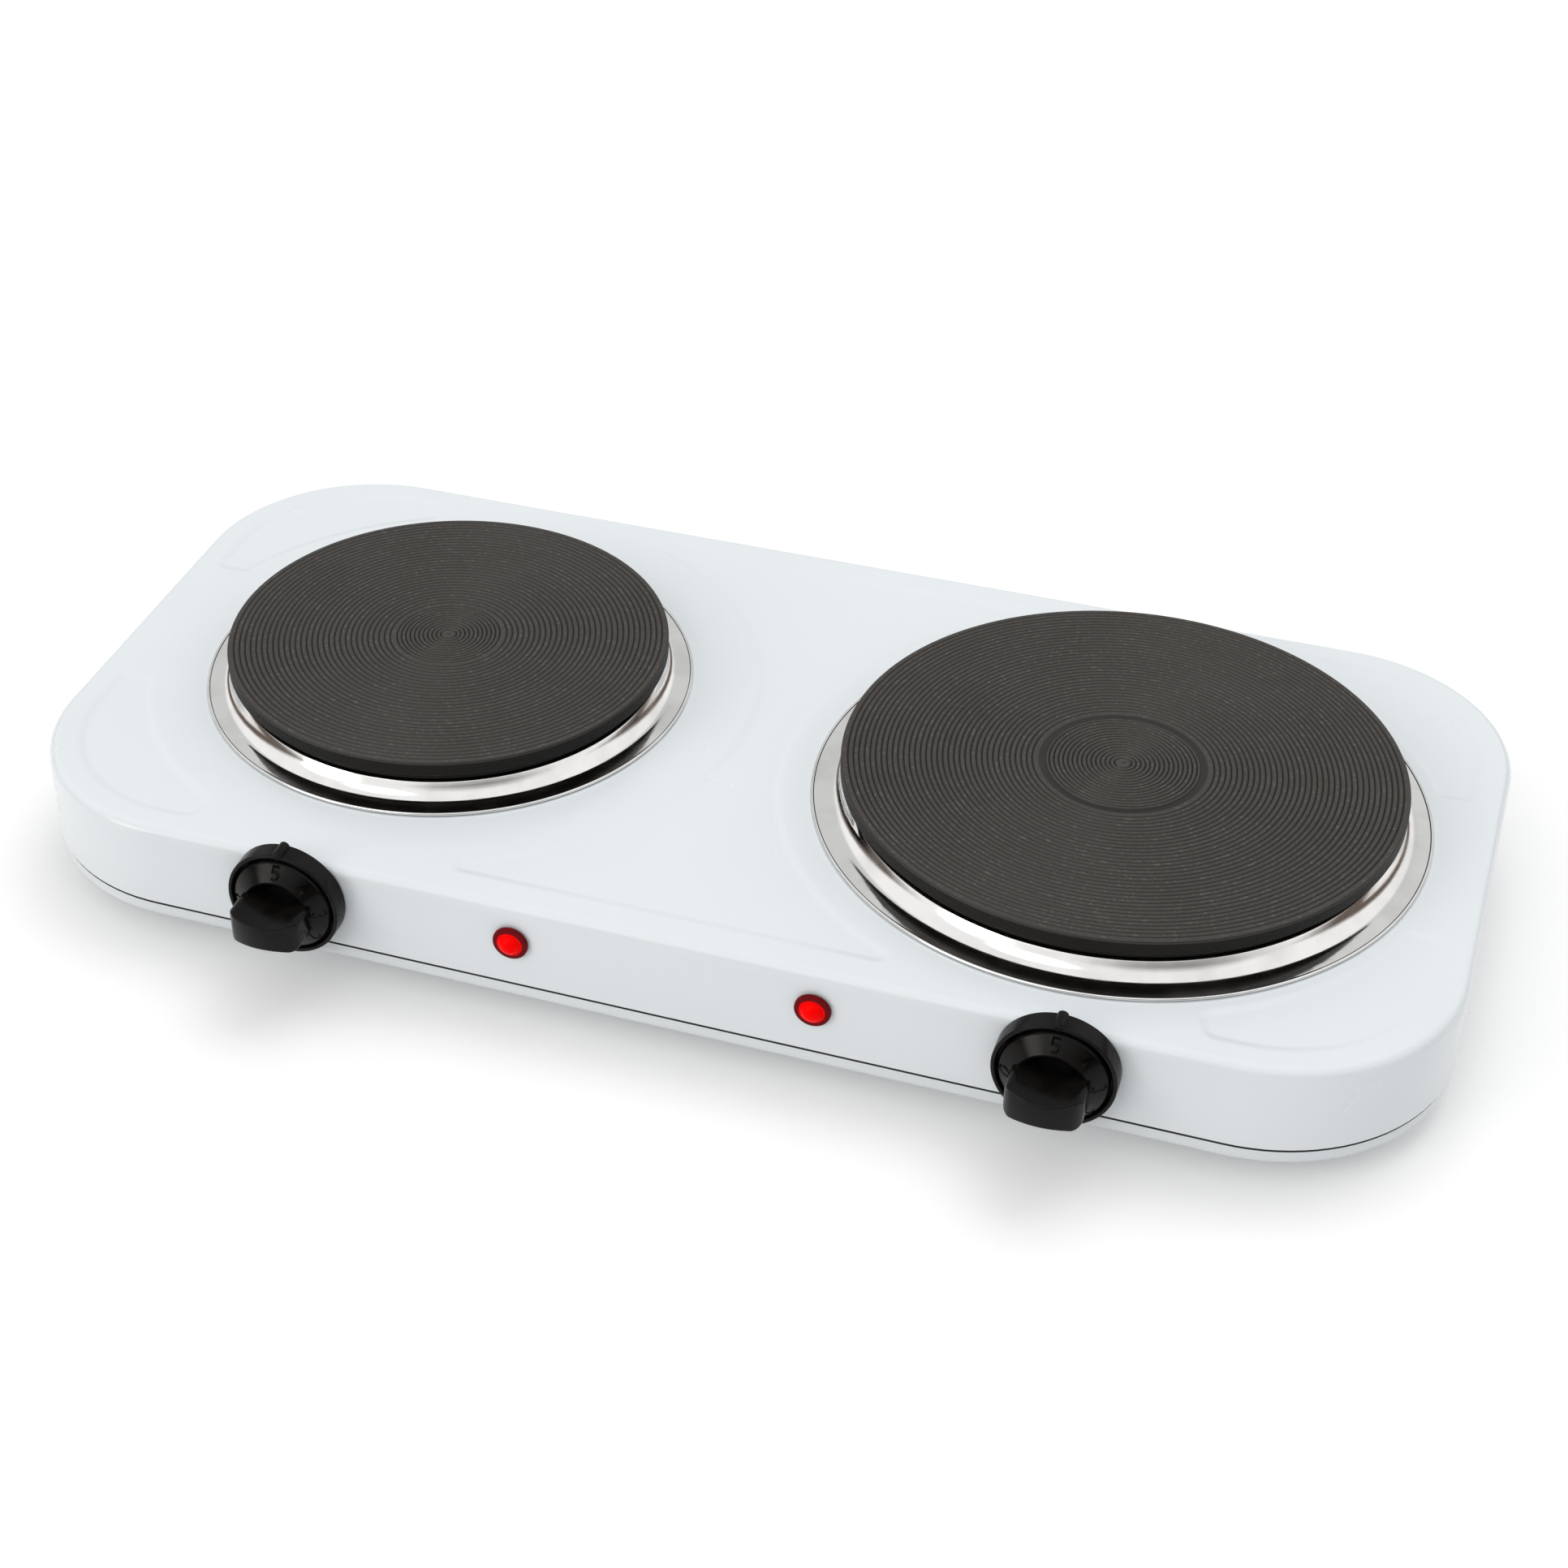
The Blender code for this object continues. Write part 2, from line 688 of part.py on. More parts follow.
def make_plate(suffix, side, plate_radius, ring_radius, *_):
    axis = bpy.data.objects.new(f"plate_axis_{suffix}", None)
    axis.parent = FRAME
    axis.location = (side * PLATE_X, 0, 0)
    PARTS.objects.link(axis)
    spigot = plate_radius - SPIGOT_INSET
    cavity = plate_radius - 0.014
    cavity_top = 0.0565
    bore = STUD_RADIUS + GAP
    casting = (
        (0, PLATE_TOP),
        (plate_radius - PLATE_CHAMFER, PLATE_TOP),
        (plate_radius, PLATE_TOP - PLATE_CHAMFER),
        (plate_radius, PLATE_SKIRT),
        (plate_radius - PLATE_UNDERCUT, PLATE_SKIRT),
        (plate_radius - PLATE_UNDERCUT, PLATE_LEDGE),
        (spigot, PLATE_LEDGE),
        (spigot, SPIGOT_BOTTOM),
        (cavity, SPIGOT_BOTTOM),
        (cavity, cavity_top),
        (BOSS_RADIUS, cavity_top),
        (BOSS_RADIUS, SPIGOT_BOTTOM),
        (bore, SPIGOT_BOTTOM),
        (bore, 0.0535),
        (0, 0.0535),
    )
    turned(f"hotplate_{suffix}", "cast_iron", casting, parent=axis)
    ring = turned_shell_mesh(ring_profile(plate_radius, ring_radius), 0.0006)
    place(bpy.data.objects.new("ring", ring), f"drip_ring_{suffix}", "stainless", parent=axis)
    make_heating_coil(suffix, plate_radius, axis)
    inner, outer = BOSS_RADIUS + 0.0005, cavity - 0.0005
    for name, material, top, bottom in (
        ("element_cement", "cement", 0.0510, 0.0464),
        ("element_cover", "steel", 0.0458, 0.0450),
    ):
        washer = ((outer, top), (outer, bottom), (inner, bottom), (inner, top))
        turned(f"{name}_{suffix}", material, washer, parent=axis)
    stud = ((0, 0.0530), (STUD_RADIUS, 0.0530), (STUD_RADIUS, 0.0285), (0, 0.0285))
    turned(f"plate_stud_{suffix}", "steel", stud, SCREW_STEPS, parent=axis)
    make_clamp_bar(suffix, plate_radius, axis)
    nut = [circle(0.0075, 6), circle(bore, 12)]
    flat_piece(f"stud_nut_{suffix}", "steel", nut, 0.0065, location=(0, 0, 0.0339), parent=axis)
    terminal_spot = (0, -0.032, 0.0402)
    box(
        f"plate_terminal_{suffix}",
        "ceramic",
        (0.026, 0.014, 0.009),
        bevel=0.001,
        location=terminal_spot,
        parent=axis,
    )


# Controls


def grip_mesh():
    """The finger grip: a bar across the knob, waisted in the middle, whose outer edge is an arc."""
    half_length, waist, full, sag, steps = 0.0122, 0.0044, 0.0062, 0.0045, 8
    base, edge, end = 0.0060, 0.0009, 0.0015
    stations = [(-half_length, end), (half_length, end)]
    stations += [((half_length - end) * (2 * index / steps - 1), 0) for index in range(steps + 1)]
    bm = bmesh.new()
    rings = []
    for x, shrink in sorted(stations):
        t = (x / half_length) ** 2
        y = waist + (full - waist) * t - shrink
        top = KNOB_REACH - sag * t - shrink
        upper = ((-y, top - edge), (edge - y, top), (y - edge, top), (y, top - edge))
        section = [(-y, base), *upper, (y, base)]
        rings.append([bm.verts.new((x, across, height)) for across, height in section])
    for first, second in zip(rings, rings[1:]):
        join_loops(bm, first, second)
    bm.faces.new(rings[0])
    bm.faces.new(reversed(rings[-1]))
    bmesh.ops.recalc_face_normals(bm, faces=bm.faces)
    return mesh_from(bm, "grip")


def make_knob(column, axis):
    skirt = (
        (0, 0.0068),
        (0.0080, 0.0068),
        (0.0112, 0.0112),
        (0.0118, 0.0113),
        (0.0171, 0.0074),
        (0.0175, 0.0068),
        (0.0175, 0.0048),
        (0.0170, 0.0045),
        (0.0058, 0.0045),
        (0.0058, 0.0008),
        (SHAFT_RADIUS + GAP, 0.0008),
        (SHAFT_RADIUS + GAP, 0.0057),
        (0, 0.0057),
    )
    knob = turned(f"knob_{column}", "black_plastic", skirt, KNOB_STEPS, parent=axis)
    grip = cutter(grip_mesh(), (0, 0, 0), parent=axis)
    boolean(knob, grip, "UNION")


def make_bezel(column, seat):
    wall = BEZEL_RADIUS - 0.0014
    profile = (
        (BEZEL_RADIUS, BEZEL_DEPTH),
        (BEZEL_RADIUS, 0.0004),
        (0.0075, 0.0004),
        (0.0075, 0.0016),
        (wall, 0.0016),
        (wall, BEZEL_DEPTH),
    )
    bezel = turned(f"knob_bezel_{column}", "black_plastic", profile, KNOB_STEPS, parent=seat)
    pointer = cutter(cylinder_mesh(0.0014, BEZEL_DEPTH - 0.0008, 12), (0, 0, 0), parent=seat)
    pointer.location = (0, BEZEL_RADIUS + 0.0003, BEZEL_DEPTH / 2)
    boolean(bezel, pointer, "UNION")
    for offset in (-CONTROL_SCREW_X, CONTROL_SCREW_X):
        hole = cylinder_mesh(SCREW_HOLE, CUT_DEPTH, 8)
        boolean(bezel, cutter(hole, (offset, 0, 0), parent=seat))


def make_thermostat(column, seat):
    """What sits behind the wall: bracket, ceramic stack, bimetal blade and two screws."""
    bracket_hole = circle(0.0042, 12)
    screw_holes = [circle(SCREW_HOLE, 8, (x, 0)) for x in (-CONTROL_SCREW_X, CONTROL_SCREW_X)]
    half_x, half_y = 0.017, 0.0085
    plate = [(-half_x, -half_y), (half_x, -half_y), (half_x, half_y), (-half_x, half_y)]
    outlines = [plate, bracket_hole, *screw_holes]
    name = f"thermostat_bracket_{column}"
    flat_piece(name, "steel", outlines, 0.001, location=(0, 0, -0.0020), parent=seat)
    stack_depth = 0.0260
    stack = box(
        f"thermostat_stack_{column}",
        "ceramic",
        (0.016, 0.017, stack_depth),
        bevel=0.001,
        location=(0, 0, -0.0029 - stack_depth / 2),
        parent=seat,
    )
    boolean(stack, cutter(cylinder_mesh(SHAFT_RADIUS + GAP, 0.032), (0, 0, 0), parent=seat))
    blade = ((0, 0), (0.018, 0), (0.026, -0.002), (0.026, -0.0028), (0.018, -0.0008), (0, -0.0008))
    flat_piece(
        f"bimetal_blade_{column}",
        "brass",
        [blade],
        0.008,
        location=(0, -0.0088, -0.0040),
        rotation=(0, math.radians(90), 0),
        parent=seat,
    )
    screw = (
        (0, 0.0038),
        (0.0034, 0.0038),
        (0.0034, 0.0019),
        (SCREW_RADIUS, 0.0019),
        (SCREW_RADIUS, -0.0060),
        (0, -0.0060),
    )
    for letter, offset in (("a", -CONTROL_SCREW_X), ("b", CONTROL_SCREW_X)):
        name = f"thermostat_screw_{column}_{letter}"
        turned(name, "steel", screw, SCREW_STEPS, location=(offset, 0, 0), parent=seat)


def front_seat(name, x, z):
    """An empty on the front wall whose Z points out of it and whose Y points up."""
    seat = bpy.data.objects.new(name, None)
    seat.parent = FRAME
    seat.location = (x, FRONT_Y, z)
    seat.rotation_euler = (math.radians(90), 0, 0)
    PARTS.objects.link(seat)
    return seat


def make_control(column, side):
    seat = front_seat(f"control_seat_{column}", side * CONTROL_X, CONTROL_Z)
    axis = bpy.data.objects.new(f"knob_axis_{column}", None)
    axis.parent = seat
    PARTS.objects.link(axis)
    make_knob(column, axis)
    shaft = ((0, 0.0054), (SHAFT_RADIUS, 0.0054), (SHAFT_RADIUS, -0.0150), (0, -0.0150))
    turned(f"thermostat_shaft_{column}", "steel", shaft, parent=axis, steps=SMALL_STEPS)
    make_bezel(column, seat)
    make_thermostat(column, seat)


def make_indicator(column, side):
    seat = front_seat(f"indicator_seat_{column}", side * LAMP_X, LAMP_Z)
    lens = (
        (0, 0.0044),
        (0.0025, 0.0040),
        (0.0045, 0.0028),
        (0.0060, 0.0016),
        (0.0060, 0.0004),
        (0.0044, 0.0004),
        (0.0044, -0.0060),
        (0.0034, -0.0060),
        (0.0034, 0.0012),
        (0, 0.0012),
    )
    turned(f"indicator_lens_{column}", "red_lens", lens, SMALL_STEPS, parent=seat)
    lamp = (
        (0, 0.0006),
        (0.0018, -0.0002),
        (0.0028, -0.0020),
        (0.0028, -0.0180),
        (0, -0.0180),
    )
    turned(f"indicator_lamp_{column}", "lamp_glass", lamp, SCREW_STEPS, parent=seat)


# Mains entry and wiring


def make_mains_entry():
    gland = (
        (0.0080, GLAND_REACH),
        (0.0092, 0.0004),
        (0.0062, 0.0004),
        (0.0062, -0.0080),
        (GLAND_BORE, -0.0080),
        (GLAND_BORE, GLAND_REACH),
    )
    turned(
        "cable_gland",
        "black_plastic",
        gland,
        SMALL_STEPS,
        location=(0, -FRONT_Y, GLAND_Z),
        rotation=(math.radians(-90), 0, 0),
    )
    floor = PAN_BOTTOM + SHEET + GAP
    block_height = 0.014
    box(
        "mains_terminal",
        "ceramic",
        (0.030, 0.016, block_height),
        bevel=0.001,
        location=(0, 0.083, floor + block_height / 2),
    )
    screw = (
        (0, floor + 0.006),
        (SCREW_RADIUS, floor + 0.006),
        (SCREW_RADIUS, floor + 0.002),
        (0.0036, floor + 0.002),
        (0.0036, floor),
        (0, floor),
    )
    turned("earth_screw", "brass", screw, SCREW_STEPS, location=(0.026, 0.092, 0))


def make_wiring():
    for column, side in SIDES:
        live = (
            (side * 0.0160, 0.083, 0.0180),
            (side * 0.024, 0.078, 0.0150),
            (side * 0.050, 0.030, 0.0135),
            (side * 0.100, -0.055, 0.0135),
            (side * 0.122, -0.075, 0.0200),
            (side * 0.124, -0.0880, 0.0300),
        )
        wire(f"wire_live_{column}", "live_wire", live)
        load = (
            (side * 0.132, -0.0880, 0.0340),
            (side * 0.134, -0.0740, 0.0360),
            (side * 0.128, -0.0550, 0.0385),
            (side * 0.122, -0.0400, 0.0395),
        )
        wire(f"wire_load_{column}", "load_wire", load)


make_top_housing()
make_base_pan()
make_feet()
make_corner_brackets()
for plate in PLATES:
    make_plate(*plate)
for column_name, side_sign in SIDES:
    make_control(column_name, side_sign)
    make_indicator(column_name, side_sign)
make_mains_entry()
make_wiring()
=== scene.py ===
"""Visual model of the two-plate electric cooker: fine outer pieces and materials over its CAD assembly.

Metres, +Z up, front towards -Y. Pieces stand where the CAD nodes that they replace stand.
"""

import math

import bmesh
import bpy
from mathutils import Matrix, Vector


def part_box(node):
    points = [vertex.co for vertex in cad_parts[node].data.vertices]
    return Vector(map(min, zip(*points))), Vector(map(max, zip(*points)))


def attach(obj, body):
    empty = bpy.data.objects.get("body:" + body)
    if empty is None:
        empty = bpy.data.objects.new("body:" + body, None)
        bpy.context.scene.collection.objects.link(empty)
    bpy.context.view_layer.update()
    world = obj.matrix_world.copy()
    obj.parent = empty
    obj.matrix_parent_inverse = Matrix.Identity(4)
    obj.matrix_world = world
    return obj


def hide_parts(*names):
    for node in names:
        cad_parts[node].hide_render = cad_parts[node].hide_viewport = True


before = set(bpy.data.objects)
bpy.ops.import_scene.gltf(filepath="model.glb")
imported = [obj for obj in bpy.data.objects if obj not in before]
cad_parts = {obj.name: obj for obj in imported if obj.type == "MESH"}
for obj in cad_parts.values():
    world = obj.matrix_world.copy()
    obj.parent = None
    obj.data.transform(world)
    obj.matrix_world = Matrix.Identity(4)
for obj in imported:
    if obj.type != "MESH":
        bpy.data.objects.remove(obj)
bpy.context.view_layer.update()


def corners(node):
    """Lowest and highest corner of a CAD node, as vectors."""
    return [Vector(corner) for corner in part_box(node)]


def middle(node):
    low, high = corners(node)
    return (low + high) / 2


MM = 0.001
GAP = 0.3 * MM
SHELL_LOW, SHELL_HIGH = corners("top_housing")
CENTRE = middle("top_housing")
HALF_LENGTH = (SHELL_HIGH.x - SHELL_LOW.x) / 2
HALF_DEPTH = (SHELL_HIGH.y - SHELL_LOW.y) / 2
FRONT_Y = SHELL_LOW.y
REAR_Y = SHELL_HIGH.y
BODY_CORNER = 62 * MM
SHEET = 0.8 * MM
SHELL_EDGE = 3.5 * MM
WALL_DRAFT = 0.4 * MM
SUPPORT = 0.4 * MM
SIDES = (("left", -1), ("right", 1))

# Embossed fields of the top
EMBOSS_DEPTH = 0.6 * MM
EMBOSS_SLOPE = 4.2 * MM
EMBOSS_MARGIN = 9.5 * MM
EMBOSS_CORNER = 4.5 * MM
EMBOSS_END = 6.0 * MM
EMBOSS_LEVELS = 10

# Tray
PAN_LOW, PAN_HIGH = corners("base_pan")
PAN_INSET = 0.4 * MM
PAN_JOGGLE = 1.1 * MM
PAN_SHELF = 15.4 * MM
PAN_EDGE = 2.0 * MM
SLOTS_PER_PLATE = 5
SLOT_HALF = (2 * MM, 25 * MM)
SLOT_ROUND = 1.99 * MM
SLOT_PITCH = 16 * MM

# Plates: suffix, side, radii of the middle field and the corner fields round it, groove pitch,
# where the inner grooves end
PLATES = (
    ("small", -1, 108 * MM, 104.5 * MM, 1.92 * MM, 19.0 * MM),
    ("large", 1, 111 * MM, 105 * MM, 1.85 * MM, 28.2 * MM),
)
INNER_PITCH = 1.5 * MM
GROOVE_DEPTH = 0.42 * MM
PLATE_SKIRT = 57.5 * MM
PLATE_UNDERCUT = 3.0 * MM
PLATE_LEDGE = 54.5 * MM
SPIGOT_INSET = 9.5 * MM
HOLE_INSET = 8.0 * MM
CAVITY_INSET = 14.0 * MM
CAVITY_TOP = 56.5 * MM
BOSS_RADIUS = 14.0 * MM
STUD_BORE = 4.3 * MM
STUD_BORE_TOP = 53.5 * MM
PLATE_EDGE = 0.9 * MM
INNER_GROOVES_START = 1.6 * MM
LARGE_INNER_END = 24.4 * MM
FACE_RIM = 1.9 * MM

# Drip rings: the crease is that share of the way from the seat to the lip, the band falls by that slope,
# and the wall rises with that power of the distance from the crease
RING_SHEET = 0.6 * MM
RING_LIP = 0.55 * MM
RING_SEAT = 2.0 * MM
RING_LEG = 6.5 * MM
RING_CREASE = 0.53
RING_SLOPE = 0.1
RING_CURVE = 2.3
WALL_STEPS = 10

# Holes, which cutters make that reach this far to both sides of a wall
CUTTER_REACH = 5 * MM
SHAFT_RADIUS = 3.0 * MM
LAMP_HOLE = 4.8 * MM
GLAND_HOLE = 6.6 * MM
SCREW_HOLE = 2.4 * MM

# Controls
KNOB_REACH = FRONT_Y - corners("knob_left")[0].y
KNOB_RIM = 17.1 * MM
KNOB_BACK = 4.6 * MM
KNOB_RECESS = 5.8 * MM
KNOB_BORE = 3.3 * MM
BEZEL_DEPTH = 7.2 * MM
BEZEL_WALL = 1.4 * MM
BEZEL_BORE = 7.5 * MM
BEZEL_FLOOR = 1.6 * MM
BEZEL_SCREW = 11 * MM
STAND_OFF = 0.4 * MM

# Camera, fitted to the outlines of the housing and the plates: degrees, metres and millimetres of lens
AZIMUTH, ELEVATION, ROLL = 20.098, 39.201, -0.775
CAMERA_DISTANCE = 863.176 * MM
AIM_X, AIM_Y = -7.794 * MM, -110.934 * MM
LENS, SENSOR = 62.90, 36
LENS_SHIFT = (0.0895, 0.0886)

# The one lamp, aimed at the middle of the object
LAMP_PLACE = (0.3, 0.9, 2.3)
LAMP_TARGET = Vector((0, 0, 0.04))
LAMP_SIZE = (1.6, 1.2)
LAMP_POWER = 14


# Outlines in plan


def arc(center, radius, start, end, steps):
    """Points of an arc, in degrees, both ends included."""
    angles = [math.radians(start + (end - start) * i / steps) for i in range(steps + 1)]
    return [(center[0] + radius * math.cos(a), center[1] + radius * math.sin(a)) for a in angles]


def circle(radius, steps, center=(0, 0)):
    return arc(center, radius, 0, 360, steps)[:-1]


def body_outline(inset, steps=24):
    """The housing's rounded rectangle, counter-clockwise, moved in by inset."""
    points = []
    for quarter, (side_x, side_y) in enumerate(((1, 1), (-1, 1), (-1, -1), (1, -1))):
        center = (side_x * (HALF_LENGTH - BODY_CORNER), side_y * (HALF_DEPTH - BODY_CORNER))
        points += arc(center, BODY_CORNER - inset, 90 * quarter, 90 * quarter + 90, steps)
    return points


class Line:
    """A straight edge of a field, with the field on its left."""

    def __init__(self, start, end):
        self.start = Vector(start)
        self.along = (Vector(end) - self.start).normalized()
        self.normal = Vector((-self.along.y, self.along.x))

    def inset(self, distance):
        moved = self.start + self.normal * distance
        return Line(moved, moved + self.along)

    def foot(self, point):
        return self.start + self.along * (point - self.start).dot(self.along)

    def between(self, start, end):
        return []


class Round:
    """A concave edge round a plate, run clockwise, with the field outside it."""

    STEPS = 32

    def __init__(self, center, radius):
        self.center = Vector(center)
        self.radius = radius

    def inset(self, distance):
        return Round(self.center, self.radius + distance)

    def foot(self, point):
        return self.center + (point - self.center).normalized() * self.radius

    def between(self, start, end):
        first, last = (math.atan2(*reversed(p - self.center)) for p in (start, end))
        if last > first:
            last -= 2 * math.pi
        return arc(self.center, self.radius, math.degrees(first), math.degrees(last), self.STEPS)[1:-1]


def crossing(first, second, near):
    """Where two edges of a field meet: the crossing closest to a given point."""
    if isinstance(first, Round):
        first, second = second, first
    if isinstance(second, Line):
        offset = (second.start - first.start).dot(second.normal) / first.along.dot(second.normal)
        return first.start + first.along * offset
    foot = first.foot(second.center)
    half = math.sqrt(second.radius**2 - (foot - second.center).length_squared)
    ends = (foot + first.along * half, foot - first.along * half)
    return min(ends, key=lambda end: (end - Vector(near)).length)


def field_outline(edges, field_corners, inset):
    """A field's outline, counter-clockwise. A corner is (fillet radius, point near it), after its edge."""
    moved = [edge.inset(inset) for edge in edges]
    rounds = []
    for index, (radius, near) in enumerate(field_corners):
        first, second = moved[index], moved[(index + 1) % len(moved)]
        radius -= inset
        center = crossing(first.inset(radius), second.inset(radius), near)
        start, end = first.foot(center), second.foot(center)
        first_angle, last_angle = (math.degrees(math.atan2(*reversed(p - center))) for p in (start, end))
        if last_angle < first_angle:
            last_angle += 360
        steps = 20 if radius > 20 * MM else 8
        rounds.append((start, end, arc(center, radius, first_angle, last_angle, steps)))
    points = []
    for index, (start, end, fillet) in enumerate(rounds):
        points += moved[index].between(rounds[index - 1][1], start)
        points += fillet
    return points


def middle_field(inset):
    """The field between the plates: straight at front and back, concave round both plates."""
    half_y = HALF_DEPTH - EMBOSS_MARGIN - 2 * MM
    edges = (
        Line((-1, -half_y), (1, -half_y)),
        Round((PLATE_X, 0), PLATES[1][2]),
        Line((1, half_y), (-1, half_y)),
        Round((-PLATE_X, 0), PLATES[0][2]),
    )
    near = 80 * MM
    field_corners = [
        (EMBOSS_CORNER, (x, y)) for x, y in ((near, -near), (near, near), (-near, near), (-near, -near))
    ]
    return field_outline(edges, field_corners, inset)


def corner_field(side_x, side_y, plate_field, inset):
    """The field in one corner of the top, drawn for the rear right corner and mirrored."""
    half_x = HALF_LENGTH - EMBOSS_MARGIN
    half_y = HALF_DEPTH - EMBOSS_MARGIN
    side_end = 36 * MM
    inner_end, outer_end = (163 * MM, 94 * MM), (168 * MM, half_y)
    edges = (
        Line((half_x, 0), (half_x, 1)),
        Line((1, half_y), (0, half_y)),
        Line(outer_end, inner_end),
        Round((PLATE_X, 0), plate_field),
        Line((0, side_end), (1, side_end)),
    )
    field_corners = (
        (BODY_CORNER - EMBOSS_MARGIN, (half_x, half_y)),
        (EMBOSS_END, outer_end),
        (EMBOSS_END, inner_end),
        (EMBOSS_CORNER, (PLATE_X + plate_field, side_end)),
        (EMBOSS_CORNER, (half_x, side_end)),
    )
    points = [(side_x * p[0], side_y * p[1]) for p in field_outline(edges, field_corners, inset)]
    return points if side_x * side_y > 0 else points[::-1]


def all_fields(inset):
    fields = [middle_field(inset)]
    for _, side_x, _, plate_field, *_ in PLATES:
        fields += [corner_field(side_x, side_y, plate_field, inset) for side_y in (-1, 1)]
    return fields


def filleted(corner_points, steps=5):
    """A closed outline of (x, y, fillet radius) corners, with each fillet drawn as an arc."""
    points = []
    for index, (x, y, radius) in enumerate(corner_points):
        if not radius:
            points.append((x, y))
            continue
        here = Vector((x, y))
        before = (Vector(corner_points[index - 1][:2]) - here).normalized()
        after = (Vector(corner_points[(index + 1) % len(corner_points)][:2]) - here).normalized()
        half = before.angle(after) / 2
        reach = radius / math.tan(half)
        center = here + (before + after).normalized() * (radius / math.sin(half))
        start = math.atan2(*reversed(here + before * reach - center))
        turn = math.atan2(*reversed(here + after * reach - center)) - start
        turn -= 2 * math.pi * round(turn / (2 * math.pi))
        points += arc(center, radius, math.degrees(start), math.degrees(start + turn), steps)
    return points


# Meshes


def mesh_from(bm):
    mesh = bpy.data.meshes.new("piece")
    bm.to_mesh(mesh)
    bm.free()
    return mesh


def smooth(mesh, angle=35):
    mesh.shade_smooth()
    mesh.set_sharp_from_angle(angle=math.radians(angle))
    return mesh


def add_loop(bm, points, height):
    return [bm.verts.new((point[0], point[1], height)) for point in points]


def loop_edges(bm, verts):
    pairs = zip(verts, verts[1:] + verts[:1])
    return [bm.edges.get(pair) or bm.edges.new(pair) for pair in pairs]


def join_loops(bm, lower, upper):
    """Quads between two loops of as many points, facing out when both run counter-clockwise."""
    count = len(lower)
    for i in range(count):
        j = (i + 1) % count
        bm.faces.new((lower[i], lower[j], upper[j], upper[i]))


def fill_up(bm, loops):
    """Fills a flat region between its loops, with its faces turned up."""
    edges = [edge for loop in loops for edge in loop_edges(bm, loop)]
    filled = bmesh.ops.triangle_fill(bm, use_beauty=True, edges=edges)["geom"]
    for face in filled:
        if isinstance(face, bmesh.types.BMFace):
            face.normal_update()
            if face.normal.z < 0:
                face.normal_flip()


def turned_mesh(profile, steps=96):
    """A solid of revolution about Z: a closed profile of (radius, height) points, on or clear of the axis."""
    bm = bmesh.new()
    rings = []
    for radius, height in profile:
        if radius < 0.001 * MM:
            rings.append([bm.verts.new((0, 0, height))] * steps)
        else:
            rings.append(add_loop(bm, circle(radius, steps), height))
    for first, second in zip(rings, rings[1:] + rings[:1]):
        if first[0] is first[1] and second[0] is second[1]:
            continue
        for i in range(steps):
            j = (i + 1) % steps
            ring_face = dict.fromkeys((first[i], first[j], second[j], second[i]))
            bm.faces.new(list(ring_face))
    bmesh.ops.recalc_face_normals(bm, faces=bm.faces)
    return smooth(mesh_from(bm))


def lofted_mesh(levels):
    """A closed solid through (outline, height) levels, capped at both ends."""
    bm = bmesh.new()
    rings = [add_loop(bm, outline, height) for outline, height in levels]
    for lower, upper in zip(rings, rings[1:]):
        join_loops(bm, lower, upper)
    bm.faces.new(reversed(rings[0]))
    bm.faces.new(rings[-1])
    return mesh_from(bm)


def linked(mesh, name="piece"):
    obj = bpy.data.objects.new(name, mesh)
    bpy.context.scene.collection.objects.link(obj)
    return obj


def combined(mesh, tools, thickness=0.0, angle=35):
    """mesh as a sheet of that thickness, with (operation, tool mesh, matrix) Booleans applied to it."""
    target = linked(mesh)
    if thickness:
        sheet = target.modifiers.new("sheet", "SOLIDIFY")
        sheet.thickness = thickness
        sheet.offset = -1
        sheet.use_even_offset = True
    helpers = []
    for operation, tool_mesh, matrix in tools:
        tool = linked(tool_mesh)
        tool.matrix_world = matrix
        modifier = target.modifiers.new("cut", "BOOLEAN")
        modifier.operation = operation
        modifier.solver = "EXACT"
        modifier.use_self = operation == "DIFFERENCE" and tool_mesh.name.startswith("strokes")
        modifier.object = tool
        helpers.append(tool)
    bpy.context.view_layer.update()
    graph = bpy.context.evaluated_depsgraph_get()
    result = bpy.data.meshes.new_from_object(target.evaluated_get(graph))
    for obj in (target, *helpers):
        bpy.data.objects.remove(obj, do_unlink=True)
    return smooth(result, angle)


def rod_mesh(radius, low, high):
    return turned_mesh([(0, low), (radius, low), (radius, high), (0, high)], 32)


def hole_mesh(radius):
    return rod_mesh(radius, -CUTTER_REACH, CUTTER_REACH)


def add_piece(name, mesh, body, slot, replaces, location, rotation=(0, 0, 0)):
    """An object of that mesh in place of CAD nodes, with the look that its slot is named for."""
    obj = linked(mesh, name)
    mesh.materials.clear()
    mesh.materials.append(LOOKS[slot])
    obj.location = location
    obj.rotation_euler = rotation
    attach(obj, body)
    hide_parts(*replaces)
    return obj


# Materials


